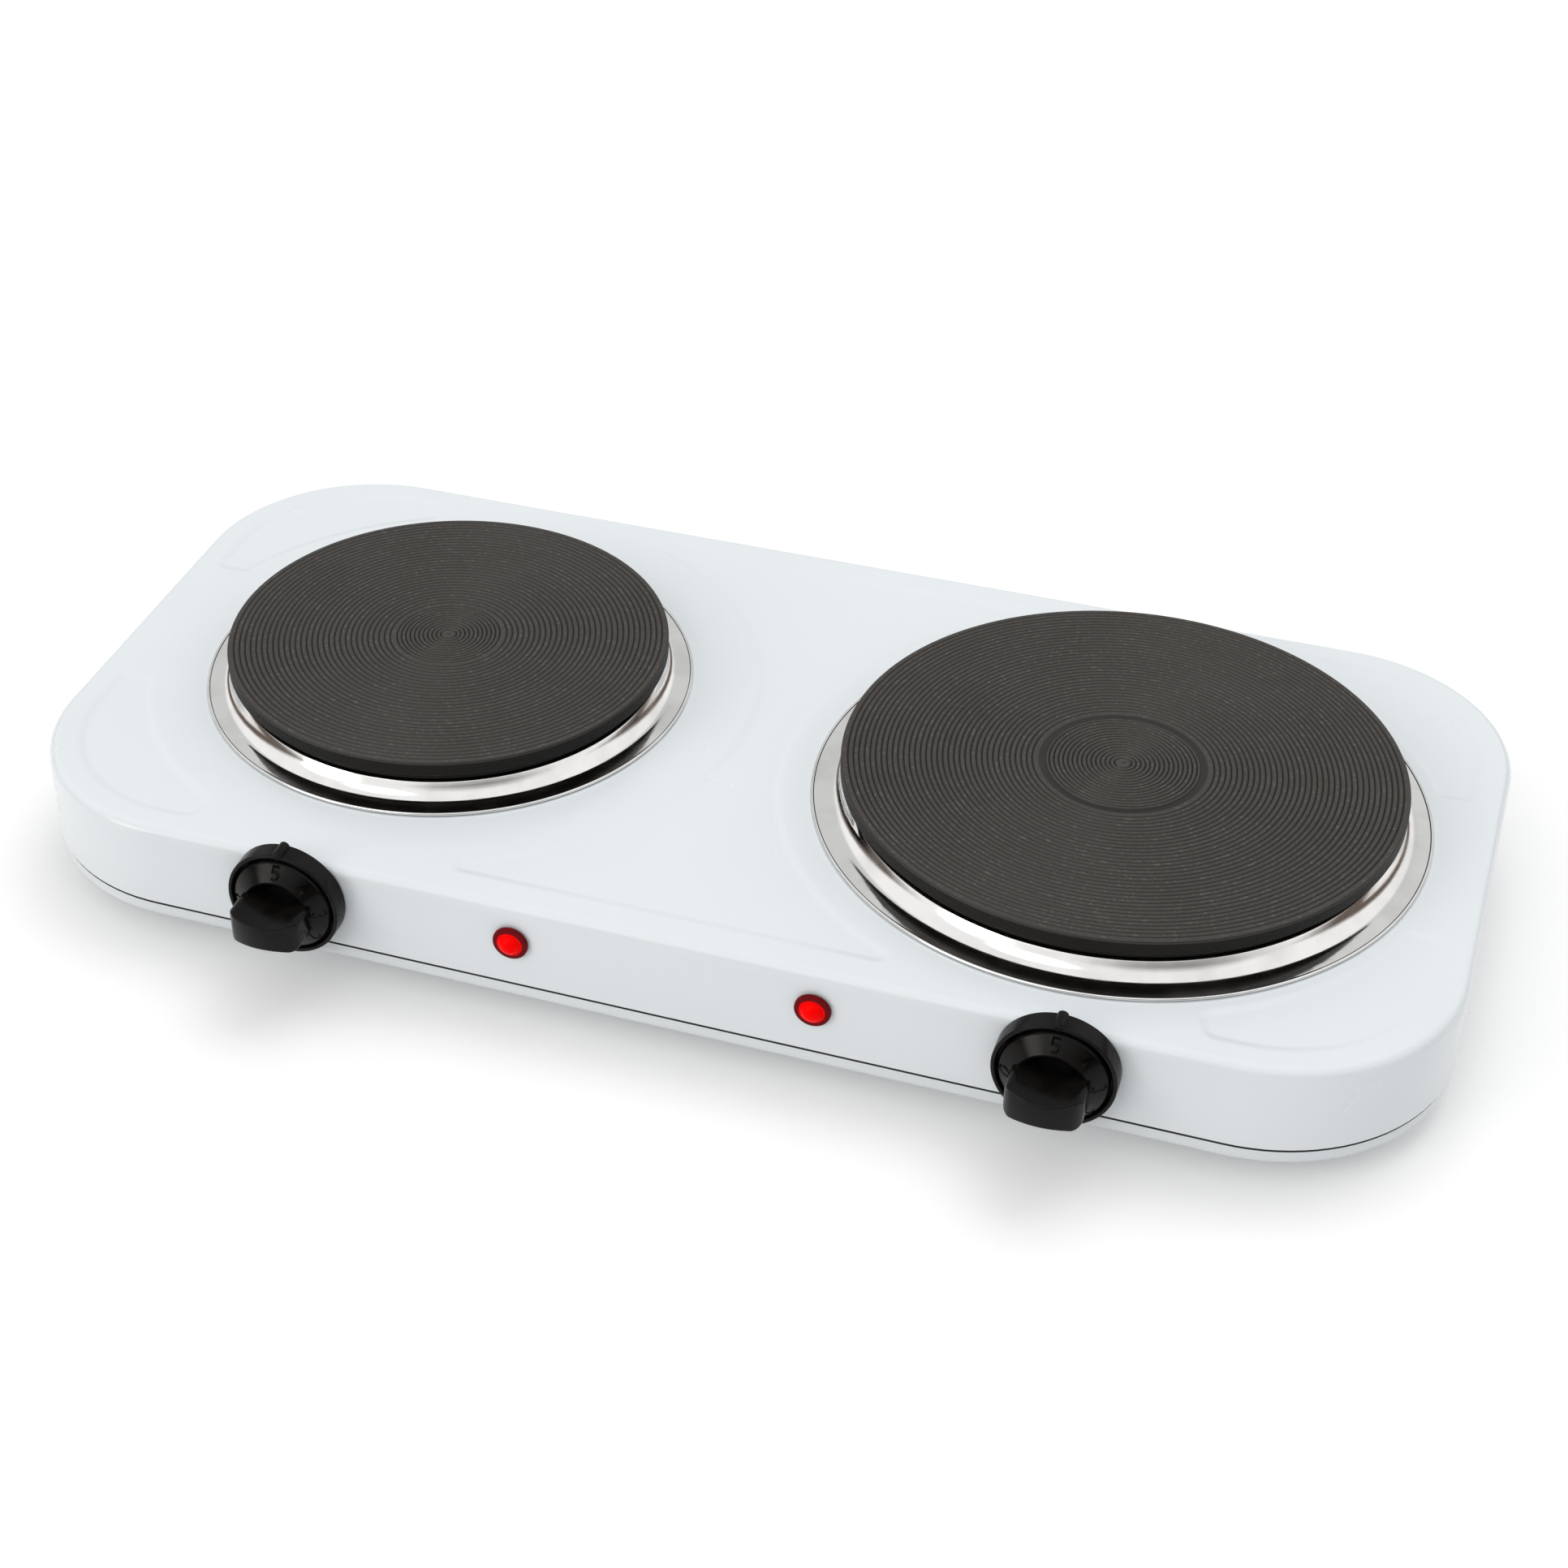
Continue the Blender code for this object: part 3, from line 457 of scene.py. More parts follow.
class Look:
    """A material in the making: a Principled shader with noise and wear worked into its sockets.

    The colour and roughness given first are plain ones, which most looks then vary.
    """

    def __init__(self, name, color, roughness, metallic=0.0, **sockets):
        self.material = bpy.data.materials.new(name)
        self.material.use_nodes = True
        self.tree = self.material.node_tree
        self.shader = self.tree.nodes["Principled BSDF"]
        self.shader.inputs["Base Color"].default_value = (*color, 1)
        self.shader.inputs["Roughness"].default_value = roughness
        self.shader.inputs["Metallic"].default_value = metallic
        for socket, value in sockets.items():
            self.shader.inputs[socket.replace("_", " ")].default_value = value
        self.place = self.tree.nodes.new("ShaderNodeTexCoord").outputs["Object"]
        self.height = None

    def put(self, socket, value):
        if isinstance(value, bpy.types.NodeSocket):
            self.tree.links.new(value, socket)
        else:
            socket.default_value = value

    def math(self, operation, *values):
        node = self.tree.nodes.new("ShaderNodeMath")
        node.operation = operation
        for socket, value in zip(node.inputs, values):
            self.put(socket, value)
        return node.outputs[0]

    def noise(self, size, detail=3.0, place=None, roughness=0.5):
        """Noise whose features are about size metres across."""
        node = self.tree.nodes.new("ShaderNodeTexNoise")
        self.put(node.inputs["Vector"], place or self.place)
        node.inputs["Scale"].default_value = 1 / size
        node.inputs["Detail"].default_value = detail
        node.inputs["Roughness"].default_value = roughness
        return node.outputs["Fac"]

    def specks(self, spacing, size, share):
        """1 in small round specks, which sit in that share of a lattice of cells."""
        node = self.tree.nodes.new("ShaderNodeTexVoronoi")
        self.put(node.inputs["Vector"], self.place)
        node.inputs["Scale"].default_value = 1 / spacing
        near = self.span(node.outputs["Distance"], size / spacing, 0.6 * size / spacing, 0, 1)
        channel = self.tree.nodes.new("ShaderNodeSeparateColor")
        self.put(channel.inputs[0], node.outputs["Color"])
        chosen = self.math("LESS_THAN", channel.outputs[0], share)
        return self.math("MULTIPLY", near, chosen)

    def span(self, value, low, high, to_low, to_high):
        node = self.tree.nodes.new("ShaderNodeMapRange")
        for socket, item in zip(node.inputs, (value, low, high, to_low, to_high)):
            self.put(socket, item)
        return node.outputs[0]

    def blend(self, factor, first, second):
        node = self.tree.nodes.new("ShaderNodeMix")
        node.data_type = "RGBA"
        self.put(node.inputs[0], factor)
        for index, color in ((6, first), (7, second)):
            self.put(node.inputs[index], color if isinstance(color, bpy.types.NodeSocket) else (*color, 1))
        return node.outputs[2]

    def split(self):
        node = self.tree.nodes.new("ShaderNodeSeparateXYZ")
        self.put(node.inputs[0], self.place)
        return node.outputs

    def radial(self):
        """Distance from the object's own Z axis."""
        x, y, _ = self.split()
        return self.math("SQRT", self.math("ADD", self.math("MULTIPLY", x, x), self.math("MULTIPLY", y, y)))

    def along_radius(self):
        """A coordinate that only changes with the distance from the axis."""
        node = self.tree.nodes.new("ShaderNodeCombineXYZ")
        self.put(node.inputs[0], self.radial())
        return node.outputs[0]

    def set(self, socket, value):
        self.put(self.shader.inputs[socket], value)

    def bump(self, height, depth):
        """Adds relief that is depth metres deep."""
        node = self.tree.nodes.new("ShaderNodeBump")
        node.inputs["Strength"].default_value = 1.0
        node.inputs["Distance"].default_value = depth
        self.put(node.inputs["Height"], height)
        if self.height:
            self.put(node.inputs["Normal"], self.height)
        self.height = node.outputs[0]
        self.set("Normal", self.height)


def enamel(name, color, dirt):
    """Fired white enamel: glossy, slightly uneven, with a few dark grains. dirt is how far it darkens."""
    look = Look(name, color, 0.2, Specular_IOR_Level=0.5)
    mottled = look.span(look.noise(60 * MM, 2), 0.35, 0.65, 0, 1)
    shade = tuple(c * (1 - dirt) for c in color)
    base = look.blend(mottled, color, shade)
    grains = look.specks(9 * MM, 0.22 * MM, 0.16)
    look.set("Base Color", look.blend(grains, base, (0.32, 0.29, 0.26)))
    look.set("Roughness", look.span(look.noise(25 * MM, 4), 0.3, 0.7, 0.16, 0.28))
    look.bump(look.noise(3.5 * MM, 1), 0.008 * MM)
    look.bump(look.noise(30 * MM, 1), 0.04 * MM)
    return look.material


def cast_iron(crest):
    """Dark seasoned iron: sandy grain, worn crests at that height, painted shade in the grooves and on the
    side, specks of dust.
    """
    look = Look("cast_iron", (0.03, 0.027, 0.024), 0.55, 0.15, Specular_IOR_Level=0.45)
    grain = look.noise(0.7 * MM, 5, roughness=0.65)
    patches = look.noise(22 * MM, 3)
    base = look.blend(look.span(grain, 0.3, 0.7, 0, 1), (0.028, 0.024, 0.021), (0.056, 0.049, 0.043))
    base = look.blend(look.span(patches, 0.3, 0.7, 0, 0.35), base, (0.060, 0.055, 0.049))
    height = look.split()[2]
    # Painted shade: the colour darkens towards the bottoms of the grooves.
    valley = look.span(height, crest - 0.34 * MM, crest - 0.08 * MM, 0.75, 0)
    painted_groove_shade = look.math("MULTIPLY", valley, look.math("GREATER_THAN", height, crest - 0.6 * MM))
    base = look.blend(painted_groove_shade, base, (0.010, 0.008, 0.007))
    on_crest = look.span(height, crest - 0.09 * MM, crest - 0.01 * MM, 0, 1)
    worn = look.span(look.noise(1.6 * MM, 4, roughness=0.7), 0.56, 0.66, 0, 0.55)
    base = look.blend(look.math("MULTIPLY", on_crest, worn), base, (0.13, 0.12, 0.11))
    dust = look.specks(4.5 * MM, 0.15 * MM, 0.12)
    base = look.blend(dust, base, (0.34, 0.32, 0.30))
    # Painted shade: from 0.7 mm below the crest downwards the colour turns near black and the specular level
    # drops, so the side wall looks shaded.
    side = look.span(height, crest - 1.1 * MM, crest - 0.7 * MM, 1, 0)
    look.set("Base Color", look.blend(side, base, (0.009, 0.008, 0.007)))
    look.set("Specular IOR Level", look.span(side, 0, 1, 0.45, 0.2))
    look.set("Roughness", look.span(grain, 0.3, 0.7, 0.46, 0.66))
    look.bump(grain, 0.05 * MM)
    look.bump(look.noise(0.25 * MM, 3), 0.03 * MM)
    return look.material


def stainless():
    """Polished sheet with faint turning lines, smudges and hairline scratches."""
    look = Look("polished_stainless", (0.90, 0.89, 0.88), 0.08, 1.0)
    smudge = look.noise(14 * MM, 4)
    clean, smudged = (0.91, 0.90, 0.885), (0.80, 0.785, 0.765)
    look.set("Base Color", look.blend(look.span(smudge, 0.4, 0.7, 0, 1), clean, smudged))
    look.set("Roughness", look.span(smudge, 0.35, 0.7, 0.05, 0.16))
    look.bump(look.noise(0.35 * MM, 2, look.along_radius()), 0.004 * MM)
    look.bump(look.noise(9 * MM, 2), 0.05 * MM)
    return look.material


def plated_steel():
    look = Look("zinc_plated_steel", (0.55, 0.55, 0.54), 0.35, 1.0)
    spangle = look.noise(4 * MM, 3)
    look.set("Base Color", look.blend(spangle, (0.48, 0.48, 0.47), (0.62, 0.62, 0.60)))
    look.set("Roughness", look.span(spangle, 0.3, 0.7, 0.28, 0.45))
    look.bump(look.noise(0.6 * MM, 2), 0.01 * MM)
    return look.material


def moulded(name, color, roughness, grain_size, grain_depth, haze=0.5):
    """Moulded plastic or rubber: fine grain, and patches a little duller than the rest."""
    look = Look(name, color, roughness, Specular_IOR_Level=0.13)
    patches = look.noise(8 * MM, 3)
    lighter = tuple(min(1.0, c * (1 + haze) + 0.004 * haze) for c in color)
    base = look.blend(look.span(patches, 0.4, 0.7, 0, 1), color, lighter)
    dust = look.specks(2.8 * MM, 0.10 * MM, 0.15)
    look.set("Base Color", look.blend(dust, base, (0.22, 0.21, 0.20)))
    look.set("Roughness", look.span(patches, 0.3, 0.7, roughness - 0.06, roughness + 0.10))
    look.bump(look.noise(grain_size, 2), grain_depth)
    return look.material


def mineral(name, color, pore):
    """Ceramic or cement: slightly mottled, with pores."""
    look = Look(name, color, 0.6)
    mottled = look.noise(5 * MM, 5)
    look.set("Base Color", look.blend(mottled, tuple(c * 0.86 for c in color), color))
    look.set("Roughness", look.span(mottled, 0.3, 0.7, 0.5, 0.75))
    look.bump(look.noise(pore, 4), pore * 0.15)
    return look.material


def brass():
    look = Look("brass", (0.72, 0.55, 0.25), 0.3, 1.0)
    stain = look.noise(3 * MM, 4)
    look.set("Base Color", look.blend(stain, (0.76, 0.58, 0.27), (0.55, 0.38, 0.18)))
    look.set("Roughness", look.span(stain, 0.3, 0.7, 0.22, 0.42))
    return look.material


def red_lens():
    """Clear red plastic: a deep, dark flange round a bright red dome, whose glow is painted on with emission.
    """
    look = Look("red_lens", (0.8, 0.0, 0.0), 0.12, Specular_IOR_Level=0.03)
    inside = look.span(look.radial(), 4.5 * MM, 4.0 * MM, 0, 1)
    flecks = look.noise(1.2 * MM, 2)
    flange = look.blend(flecks, (0.10, 0.004, 0.006), (0.17, 0.008, 0.010))
    look.set("Base Color", look.blend(inside, flange, (0.80, 0.001, 0.001)))
    # Painted glow: the dome, and faintly the flange, emit red light of their own
    look.set("Emission Color", look.blend(inside, (0.02, 0.0, 0.0), (0.75, 0.0, 0.0)))
    look.set("Emission Strength", 0.23)
    look.set("Roughness", look.span(flecks, 0.3, 0.7, 0.16, 0.26))
    return look.material


def lamp_glass():
    look = Look("lamp_glass", (0.9, 0.75, 0.6), 0.1, IOR=1.47, Transmission_Weight=0.6)
    look.set("Roughness", look.span(look.noise(1.5 * MM, 2), 0.3, 0.7, 0.06, 0.16))
    return look.material


LOOKS = {
    "enamel": enamel("white_enamel", (0.72, 0.757, 0.783), 0.015),
    "pan_enamel": enamel("pan_white_enamel", (0.69, 0.727, 0.752), 0.03),
    "cast_iron": cast_iron(63 * MM),
    "stainless": stainless(),
    "steel": plated_steel(),
    # Painted shade: a dark look for the tray's shelf and joggle, which draws the shaded gap under the
    # housing's lower edge
    "painted_seam_shade": moulded("dark_seam_painted_shade", (0.03, 0.03, 0.032), 0.6, 1.0 * MM, 0.01 * MM),
    "knob_plastic": moulded("knob_black_plastic", (0.0035, 0.003, 0.0027), 0.17, 0.30 * MM, 0.005 * MM),
    "bezel_plastic": moulded("bezel_black_plastic", (0.0045, 0.004, 0.0037), 0.24, 0.35 * MM, 0.005 * MM),
    "rubber": moulded("black_rubber", (0.030, 0.030, 0.030), 0.70, 0.5 * MM, 0.03 * MM),
    "ceramic": mineral("steatite_ceramic", (0.82, 0.78, 0.70), 0.5 * MM),
    "cement": mineral("insulating_cement", (0.62, 0.60, 0.56), 0.9 * MM),
    "brass": brass(),
    "red_lens": red_lens(),
    "lamp_glass": lamp_glass(),
    "live_wire": moulded("brown_insulation", (0.25, 0.12, 0.06), 0.55, 0.8 * MM, 0.01 * MM, 0.2),
    "load_wire": moulded("grey_insulation", (0.45, 0.45, 0.45), 0.55, 0.8 * MM, 0.01 * MM, 0.1),
}

# CAD nodes that stay, by the start of their names
KEPT = (
    ("foot_screw", "steel"),
    ("corner_bracket", "steel"),
    ("heating_coil", "steel"),
    ("element_cement", "cement"),
    ("element_cover", "steel"),
    ("plate_stud", "steel"),
    ("clamp_bar", "steel"),
    ("stud_nut", "steel"),
    ("plate_terminal", "ceramic"),
    ("thermostat_shaft", "steel"),
    ("thermostat_bracket", "steel"),
    ("thermostat_stack", "ceramic"),
    ("thermostat_screw", "steel"),
    ("bimetal_blade", "brass"),
    ("indicator_lamp", "lamp_glass"),
    ("wire_live", "live_wire"),
    ("wire_load", "load_wire"),
    ("mains_terminal", "ceramic"),
    ("earth_screw", "brass"),
)


def dress_kept_nodes():
    for name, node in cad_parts.items():
        for start, look in KEPT:
            if name.startswith(start):
                for slot in node.material_slots:
                    slot.material = LOOKS[look]


# Housing and tray

UPRIGHT_FRONT = Matrix.Rotation(math.radians(90), 4, "X")
PLATE_X = middle("hotplate_large").x


def make_housing():
    bm = bmesh.new()
    top = SHELL_HIGH.z
    levels = [(0, SHELL_LOW.z), (0, SHELL_LOW.z + 1 * MM), (WALL_DRAFT, top - SHELL_EDGE - 1 * MM)]
    for step in range(11):
        angle = math.radians(9 * step)
        inset = WALL_DRAFT + SHELL_EDGE * (1 - math.cos(angle))
        levels.append((inset, top - SHELL_EDGE * (1 - math.sin(angle))))
    levels.append((levels[-1][0] + SUPPORT, top))
    rings = [add_loop(bm, body_outline(inset), height) for inset, height in levels]
    for lower, upper in zip(rings, rings[1:]):
        join_loops(bm, lower, upper)
    holes = []
    for suffix, side, *_ in PLATES:
        low, high = corners(f"hotplate_{suffix}")
        holes.append(add_loop(bm, circle((high.x - low.x) / 2 - HOLE_INSET, 96, (side * PLATE_X, 0)), top))
    slope = [(-SUPPORT, 0.0)]
    for step in range(EMBOSS_LEVELS + 1):
        t = step / EMBOSS_LEVELS
        slope.append((EMBOSS_SLOPE * t, EMBOSS_DEPTH * (1 - math.cos(math.pi * t)) / 2))
    slope.append((EMBOSS_SLOPE + SUPPORT, EMBOSS_DEPTH))
    outer_edges = []
    fields = [
        [add_loop(bm, outline, top - depth) for outline in all_fields(inset)] for inset, depth in slope
    ]
    for loops in zip(*fields):
        for upper, lower in zip(loops, loops[1:]):
            join_loops(bm, upper, lower)
        fill_up(bm, [loops[-1]])
        outer_edges.append(loops[0])
    fill_up(bm, [rings[-1], *holes, *outer_edges])
    tools = []
    for column, _ in SIDES:
        spot = middle(f"knob_bezel_{column}")
        shaft = middle(f"thermostat_shaft_{column}")
        lens = middle(f"indicator_lens_{column}")
        for x, z, radius in ((spot.x, shaft.z, SHAFT_RADIUS + 1 * MM), (lens.x, lens.z, LAMP_HOLE)):
            place = Matrix.Translation((x, -HALF_DEPTH, z)) @ UPRIGHT_FRONT
            tools.append(("DIFFERENCE", hole_mesh(radius), place))
    gland = middle("cable_gland")
    place = Matrix.Translation((gland.x, HALF_DEPTH, gland.z)) @ UPRIGHT_FRONT
    tools.append(("DIFFERENCE", hole_mesh(GLAND_HOLE), place))
    mesh = combined(mesh_from(bm), tools, SHEET)
    add_piece("housing_shell", mesh, "cooker", "enamel", ["top_housing"], (CENTRE.x, CENTRE.y, 0))


def make_tray():
    bm = bmesh.new()
    levels = [(PAN_INSET + PAN_EDGE + SUPPORT, PAN_LOW.z)]
    for step in range(9):
        angle = math.radians(11.25 * step)
        inset = PAN_INSET + PAN_EDGE * (1 - math.sin(angle))
        levels.append((inset, PAN_LOW.z + PAN_EDGE * (1 - math.cos(angle))))
    levels += [(PAN_INSET, PAN_LOW.z + PAN_EDGE + 1 * MM), (PAN_INSET, PAN_SHELF - 0.3 * MM)]
    levels += [(PAN_INSET + 0.3 * MM, PAN_SHELF), (PAN_INSET + PAN_JOGGLE, PAN_SHELF)]
    levels += [(PAN_INSET + PAN_JOGGLE, PAN_SHELF + 1 * MM), (PAN_INSET + PAN_JOGGLE, PAN_HIGH.z)]
    rings = [add_loop(bm, body_outline(inset), height) for inset, height in levels]
    for lower, upper in zip(rings, rings[1:]):
        join_loops(bm, lower, upper)
    bm.faces.new(reversed(rings[0]))
    tools = []
    for row in ("front", "rear"):
        for column, _ in SIDES:
            foot = middle(f"foot_{row}_{column}")
            place = Matrix.Translation((foot.x - CENTRE.x, foot.y - CENTRE.y, PAN_LOW.z))
            tools.append(("DIFFERENCE", hole_mesh(SCREW_HOLE), place))
    half_x, half_y = SLOT_HALF
    turns = ((1, -1), (1, 1), (-1, 1), (-1, -1))
    outline = filleted([(x * half_x, y * half_y, SLOT_ROUND) for x, y in turns])
    for _, side, *_ in PLATES:
        for index in range(SLOTS_PER_PLATE):
            slot = lofted_mesh([(outline, -CUTTER_REACH), (outline, CUTTER_REACH)])
            offset = (index - SLOTS_PER_PLATE // 2) * SLOT_PITCH
            place = Matrix.Translation((side * PLATE_X + offset, 0, PAN_LOW.z))
            tools.append(("DIFFERENCE", slot, place))
    mesh = combined(mesh_from(bm), tools, SHEET)
    place = (CENTRE.x, CENTRE.y, 0)
    add_piece("tray", mesh, "cooker", "pan_enamel", ["base_pan"], place)
    # Painted shade: faces of the shelf and the joggle above it get the dark look, standing in for the shade
    # in the gap under the housing's edge
    mesh.materials.append(LOOKS["painted_seam_shade"])
    for face in mesh.polygons:
        if face.center.z > PAN_SHELF - 0.2 * MM:
            face.material_index = 1


def make_feet():
    foot_top = corners("foot_front_left")[1].z
    profile = filleted(
        (
            (9.0 * MM, foot_top, 0.3 * MM),
            (7.9 * MM, 0, 0.9 * MM),
            (4.2 * MM, 0, 0.4 * MM),
            (4.2 * MM, 5.0 * MM, 0),
            (2.3 * MM, 5.0 * MM, 0),
            (2.3 * MM, foot_top, 0),
        )
    )
    for row in ("front", "rear"):
        for column, _ in SIDES:
            node = f"foot_{row}_{column}"
            place = middle(node)
            place.z = 0
            mesh = turned_mesh(profile, 48)
            add_piece(f"rubber_{node}", mesh, "cooker", "rubber", [node], place)


# Plates and rings


def grooves(inner, outer, pitch, top):
    """Profile of concentric grooves from one radius out to another: flat crests between rounded valleys."""
    count = round((outer - inner) / pitch)
    step = (outer - inner) / count
    shape = ((0.0, 0.0), (0.56, 0.0), (0.64, 0.4), (0.72, 0.85), (0.78, 1.0), (0.84, 0.85), (0.92, 0.4))
    places = [(index + t, down) for index in range(count) for t, down in shape]
    return [(inner + along * step, top - GROOVE_DEPTH * down) for along, down in places]


def plate_face(suffix, radius, top, pitch, ring_end):
    """The upper face's profile, from the axis outwards."""
    face = [(0, top - 0.25 * MM), (0.5 * MM, top - 0.22 * MM), (1.0 * MM, top)]
    if suffix == "large":
        inner_end = LARGE_INNER_END
        face += grooves(INNER_GROOVES_START, inner_end, INNER_PITCH, top)
        face += [(inner_end, top), (inner_end + 0.5 * MM, top), (inner_end + 0.9 * MM, top - 0.45 * MM)]
        face += [(ring_end - 1.0 * MM, top - 0.45 * MM), (ring_end - 0.3 * MM, top)]
    else:
        face += grooves(INNER_GROOVES_START, ring_end - 0.6 * MM, INNER_PITCH, top)
        face += [(ring_end - 0.6 * MM, top)]
    face += grooves(ring_end, radius - FACE_RIM, pitch, top)
    return [*face, (radius - FACE_RIM, top)]


def make_plate(suffix, pitch, ring_end):
    """Casting: grooved face, rounded rim, side, undercut, ledge, spigot and the boss that holds the stud."""
    low, high = corners(f"hotplate_{suffix}")
    radius, top = (high.x - low.x) / 2, high.z
    spigot, cavity = radius - SPIGOT_INSET, radius - CAVITY_INSET
    edge = PLATE_EDGE
    casting = plate_face(suffix, radius, top, pitch, ring_end)
    casting += arc((radius - edge, top - edge), edge, 90, 0, 6)
    casting += [
        (radius, top - edge - 0.6 * MM),
        (radius, PLATE_SKIRT + 0.5 * MM),
        (radius - 0.5 * MM, PLATE_SKIRT),
        (radius - PLATE_UNDERCUT, PLATE_SKIRT),
        (radius - PLATE_UNDERCUT, PLATE_LEDGE),
        (spigot, PLATE_LEDGE),
        (spigot, low.z),
        (cavity, low.z),
        (cavity, CAVITY_TOP),
        (BOSS_RADIUS, CAVITY_TOP),
        (BOSS_RADIUS, low.z),
        (STUD_BORE, low.z),
        (STUD_BORE, STUD_BORE_TOP),
        (0, STUD_BORE_TOP),
    ]
    node = f"hotplate_{suffix}"
    place = (middle(node).x, middle(node).y, 0)
    mesh = turned_mesh(casting, 192)
    add_piece(f"iron_{node}", mesh, "cooker", "cast_iron", [node], place)


def make_ring(suffix):
    """Drip ring: rolled lip, gently sloped band, crease, hollow wall, seat under the plate and inner leg."""
    low, high = corners(f"drip_ring_{suffix}")
    ring, top = (high.x - low.x) / 2, high.z - 0.6 * MM
    plate_low, plate_high = corners(f"hotplate_{suffix}")
    plate = (plate_high.x - plate_low.x) / 2
    base = SHELL_HIGH.z + GAP
    seat, leg = plate - RING_SEAT, plate - RING_LEG
    edge = top - 0.5 * MM
    crease = seat + RING_CREASE * (ring - seat)
    band = ring - 2 * RING_LIP - 0.15 * MM
    band_height = base + RING_SHEET + 0.1 * MM
    foot = band_height + RING_SLOPE * (band - crease)

    def wall(step):
        """Point of the wall's face, from the crease at step 0 to the seat's edge at the last one."""
        t = step / WALL_STEPS
        return crease + (seat - crease) * t, foot + (edge - foot) * t**RING_CURVE

    # The band has points close to both its ends, which keep its shading flat
    face = arc((ring - RING_LIP, base + RING_LIP), RING_LIP, -90, 165, 12)
    for radius in (band, band - 0.2 * MM, crease + 0.2 * MM, crease):
        face.append((radius, band_height + RING_SLOPE * (band - radius)))
    face += [wall(step) for step in range(1, WALL_STEPS + 1)]
    face += [(seat - 0.3 * MM, top - 0.1 * MM), (seat - 0.7 * MM, top)]
    face += [(leg + 0.4 * MM, top), (leg, top - 0.4 * MM), (leg, base)]
    back = [(leg + RING_SHEET, base), (leg + RING_SHEET, top - RING_SHEET)]
    back.append((seat - 0.6 * MM, top - RING_SHEET))
    for step in range(WALL_STEPS - 1, 0, -1):
        radius, height = wall(step)
        back.append((radius - 0.35 * MM, max(base, height - RING_SHEET * 1.2)))
    back += [(crease - 0.3 * MM, foot - 1.2 * RING_SHEET), (ring - 2 * RING_LIP, base)]
    mesh = turned_mesh([*face, *back], 192)
    node = f"drip_ring_{suffix}"
    place = (middle(node).x, middle(node).y, 0)
    add_piece(f"steel_{node}", mesh, "cooker", "stainless", [node], place)


# Controls

# Strokes of the dial's numbers, in units of their height, about their middle
DIGITS = {
    "0": [arc((0, 0), 0.5, 90, 450, 20)],
    "1": [[(-0.2, 0.26), (0.04, 0.5), (0.04, -0.5)]],
    "2": [[*arc((0, 0.21), 0.29, 165, -30, 8), (-0.28, -0.5), (0.32, -0.5)]],
    "3": [[*arc((0, 0.25), 0.25, 150, -80, 8), *arc((0, -0.24), 0.27, 80, -150, 8)]],
    "4": [[(0.12, -0.5), (0.12, 0.5), (-0.32, -0.2), (0.34, -0.2)]],
    "5": [[(0.26, 0.5), (-0.2, 0.5), (-0.25, 0.06), *arc((0, -0.2), 0.3, 120, -145, 9)]],
}
# Clockwise from the top, in degrees, with the knob at rest
DIAL = (("5", 0), ("4", 42), ("3", 84), ("2", 126), ("1", 168), ("0", 270))
# The knob's number cone: (radius, height) of its inner and outer edge
CONE = ((11.8 * MM, 11.3 * MM), (16.7 * MM, 7.5 * MM))
NUMBER_RADIUS = 14.4 * MM
NUMBER_SIZE = 4.3 * MM
STROKE = 0.5 * MM
ZERO_WIDTH = 0.66
NUMBER_HEIGHT = 0.84


def digit_strokes():
    """The dial's numbers as round strokes laid on the knob's cone, for cutting into it."""
    curve = bpy.data.curves.new("strokes", "CURVE")
    curve.dimensions = "3D"
    curve.bevel_depth = STROKE
    curve.bevel_resolution = 2
    curve.use_fill_caps = True
    (inner, upper), (outer, lower) = CONE
    for digit, clockwise in DIAL:
        for stroke in DIGITS[digit]:
            spline = curve.splines.new("POLY")
            spline.points.add(len(stroke) - 1)
            for point, (x, y) in zip(spline.points, stroke):
                if digit == "0":
                    x *= ZERO_WIDTH
                radius = NUMBER_RADIUS + y * NUMBER_SIZE * NUMBER_HEIGHT
                angle = math.radians(clockwise) + x * NUMBER_SIZE / NUMBER_RADIUS
                height = upper + (lower - upper) * (radius - inner) / (outer - inner)
                point.co = (radius * math.sin(angle), radius * math.cos(angle), height, 1)
    obj = linked(curve, "strokes")
    bpy.context.view_layer.update()
    mesh = bpy.data.meshes.new_from_object(obj.evaluated_get(bpy.context.evaluated_depsgraph_get()))
    bpy.data.objects.remove(obj, do_unlink=True)
    mesh.name = "strokes"
    return mesh


def grip_mesh():
    """The finger grip: a bar across the knob, waisted in the middle, whose outer edge is an arc."""
    half_length, waist, full, sag, steps = 12.2 * MM, 4.4 * MM, 6.3 * MM, 4.5 * MM, 24
    base, edge, end = 6.0 * MM, 0.7 * MM, 3.0 * MM
    inner = half_length - end
    turns = [math.radians(11 * index) for index in range(8)]
    ends = [(inner + end * math.sin(a), end * (1 - math.cos(a))) for a in turns]
    stations = [*((-x, shrink) for x, shrink in ends), *ends]
    stations += [(inner * (2 * index / steps - 1), 0) for index in range(1, steps)]
    bm = bmesh.new()
    rings = []
    for x, shrink in sorted(set(stations)):
        t = min(1.0, abs(x) / half_length) ** 2
        y = waist + (full - waist) * t - shrink
        top = KNOB_REACH - sag * t - 0.8 * shrink
        curve = arc((y - edge, top - edge), edge, 0, 90, 6)
        upper = [*((-across, height) for across, height in curve), *reversed(curve)]
        section = [(-y, base), *upper, (y, base)]
        rings.append([bm.verts.new((x, across, height)) for across, height in section])
    for first, second in zip(rings, rings[1:]):
        join_loops(bm, first, second)
    bm.faces.new(rings[0])
    bm.faces.new(reversed(rings[-1]))
    bmesh.ops.recalc_face_normals(bm, faces=bm.faces)
    return mesh_from(bm)


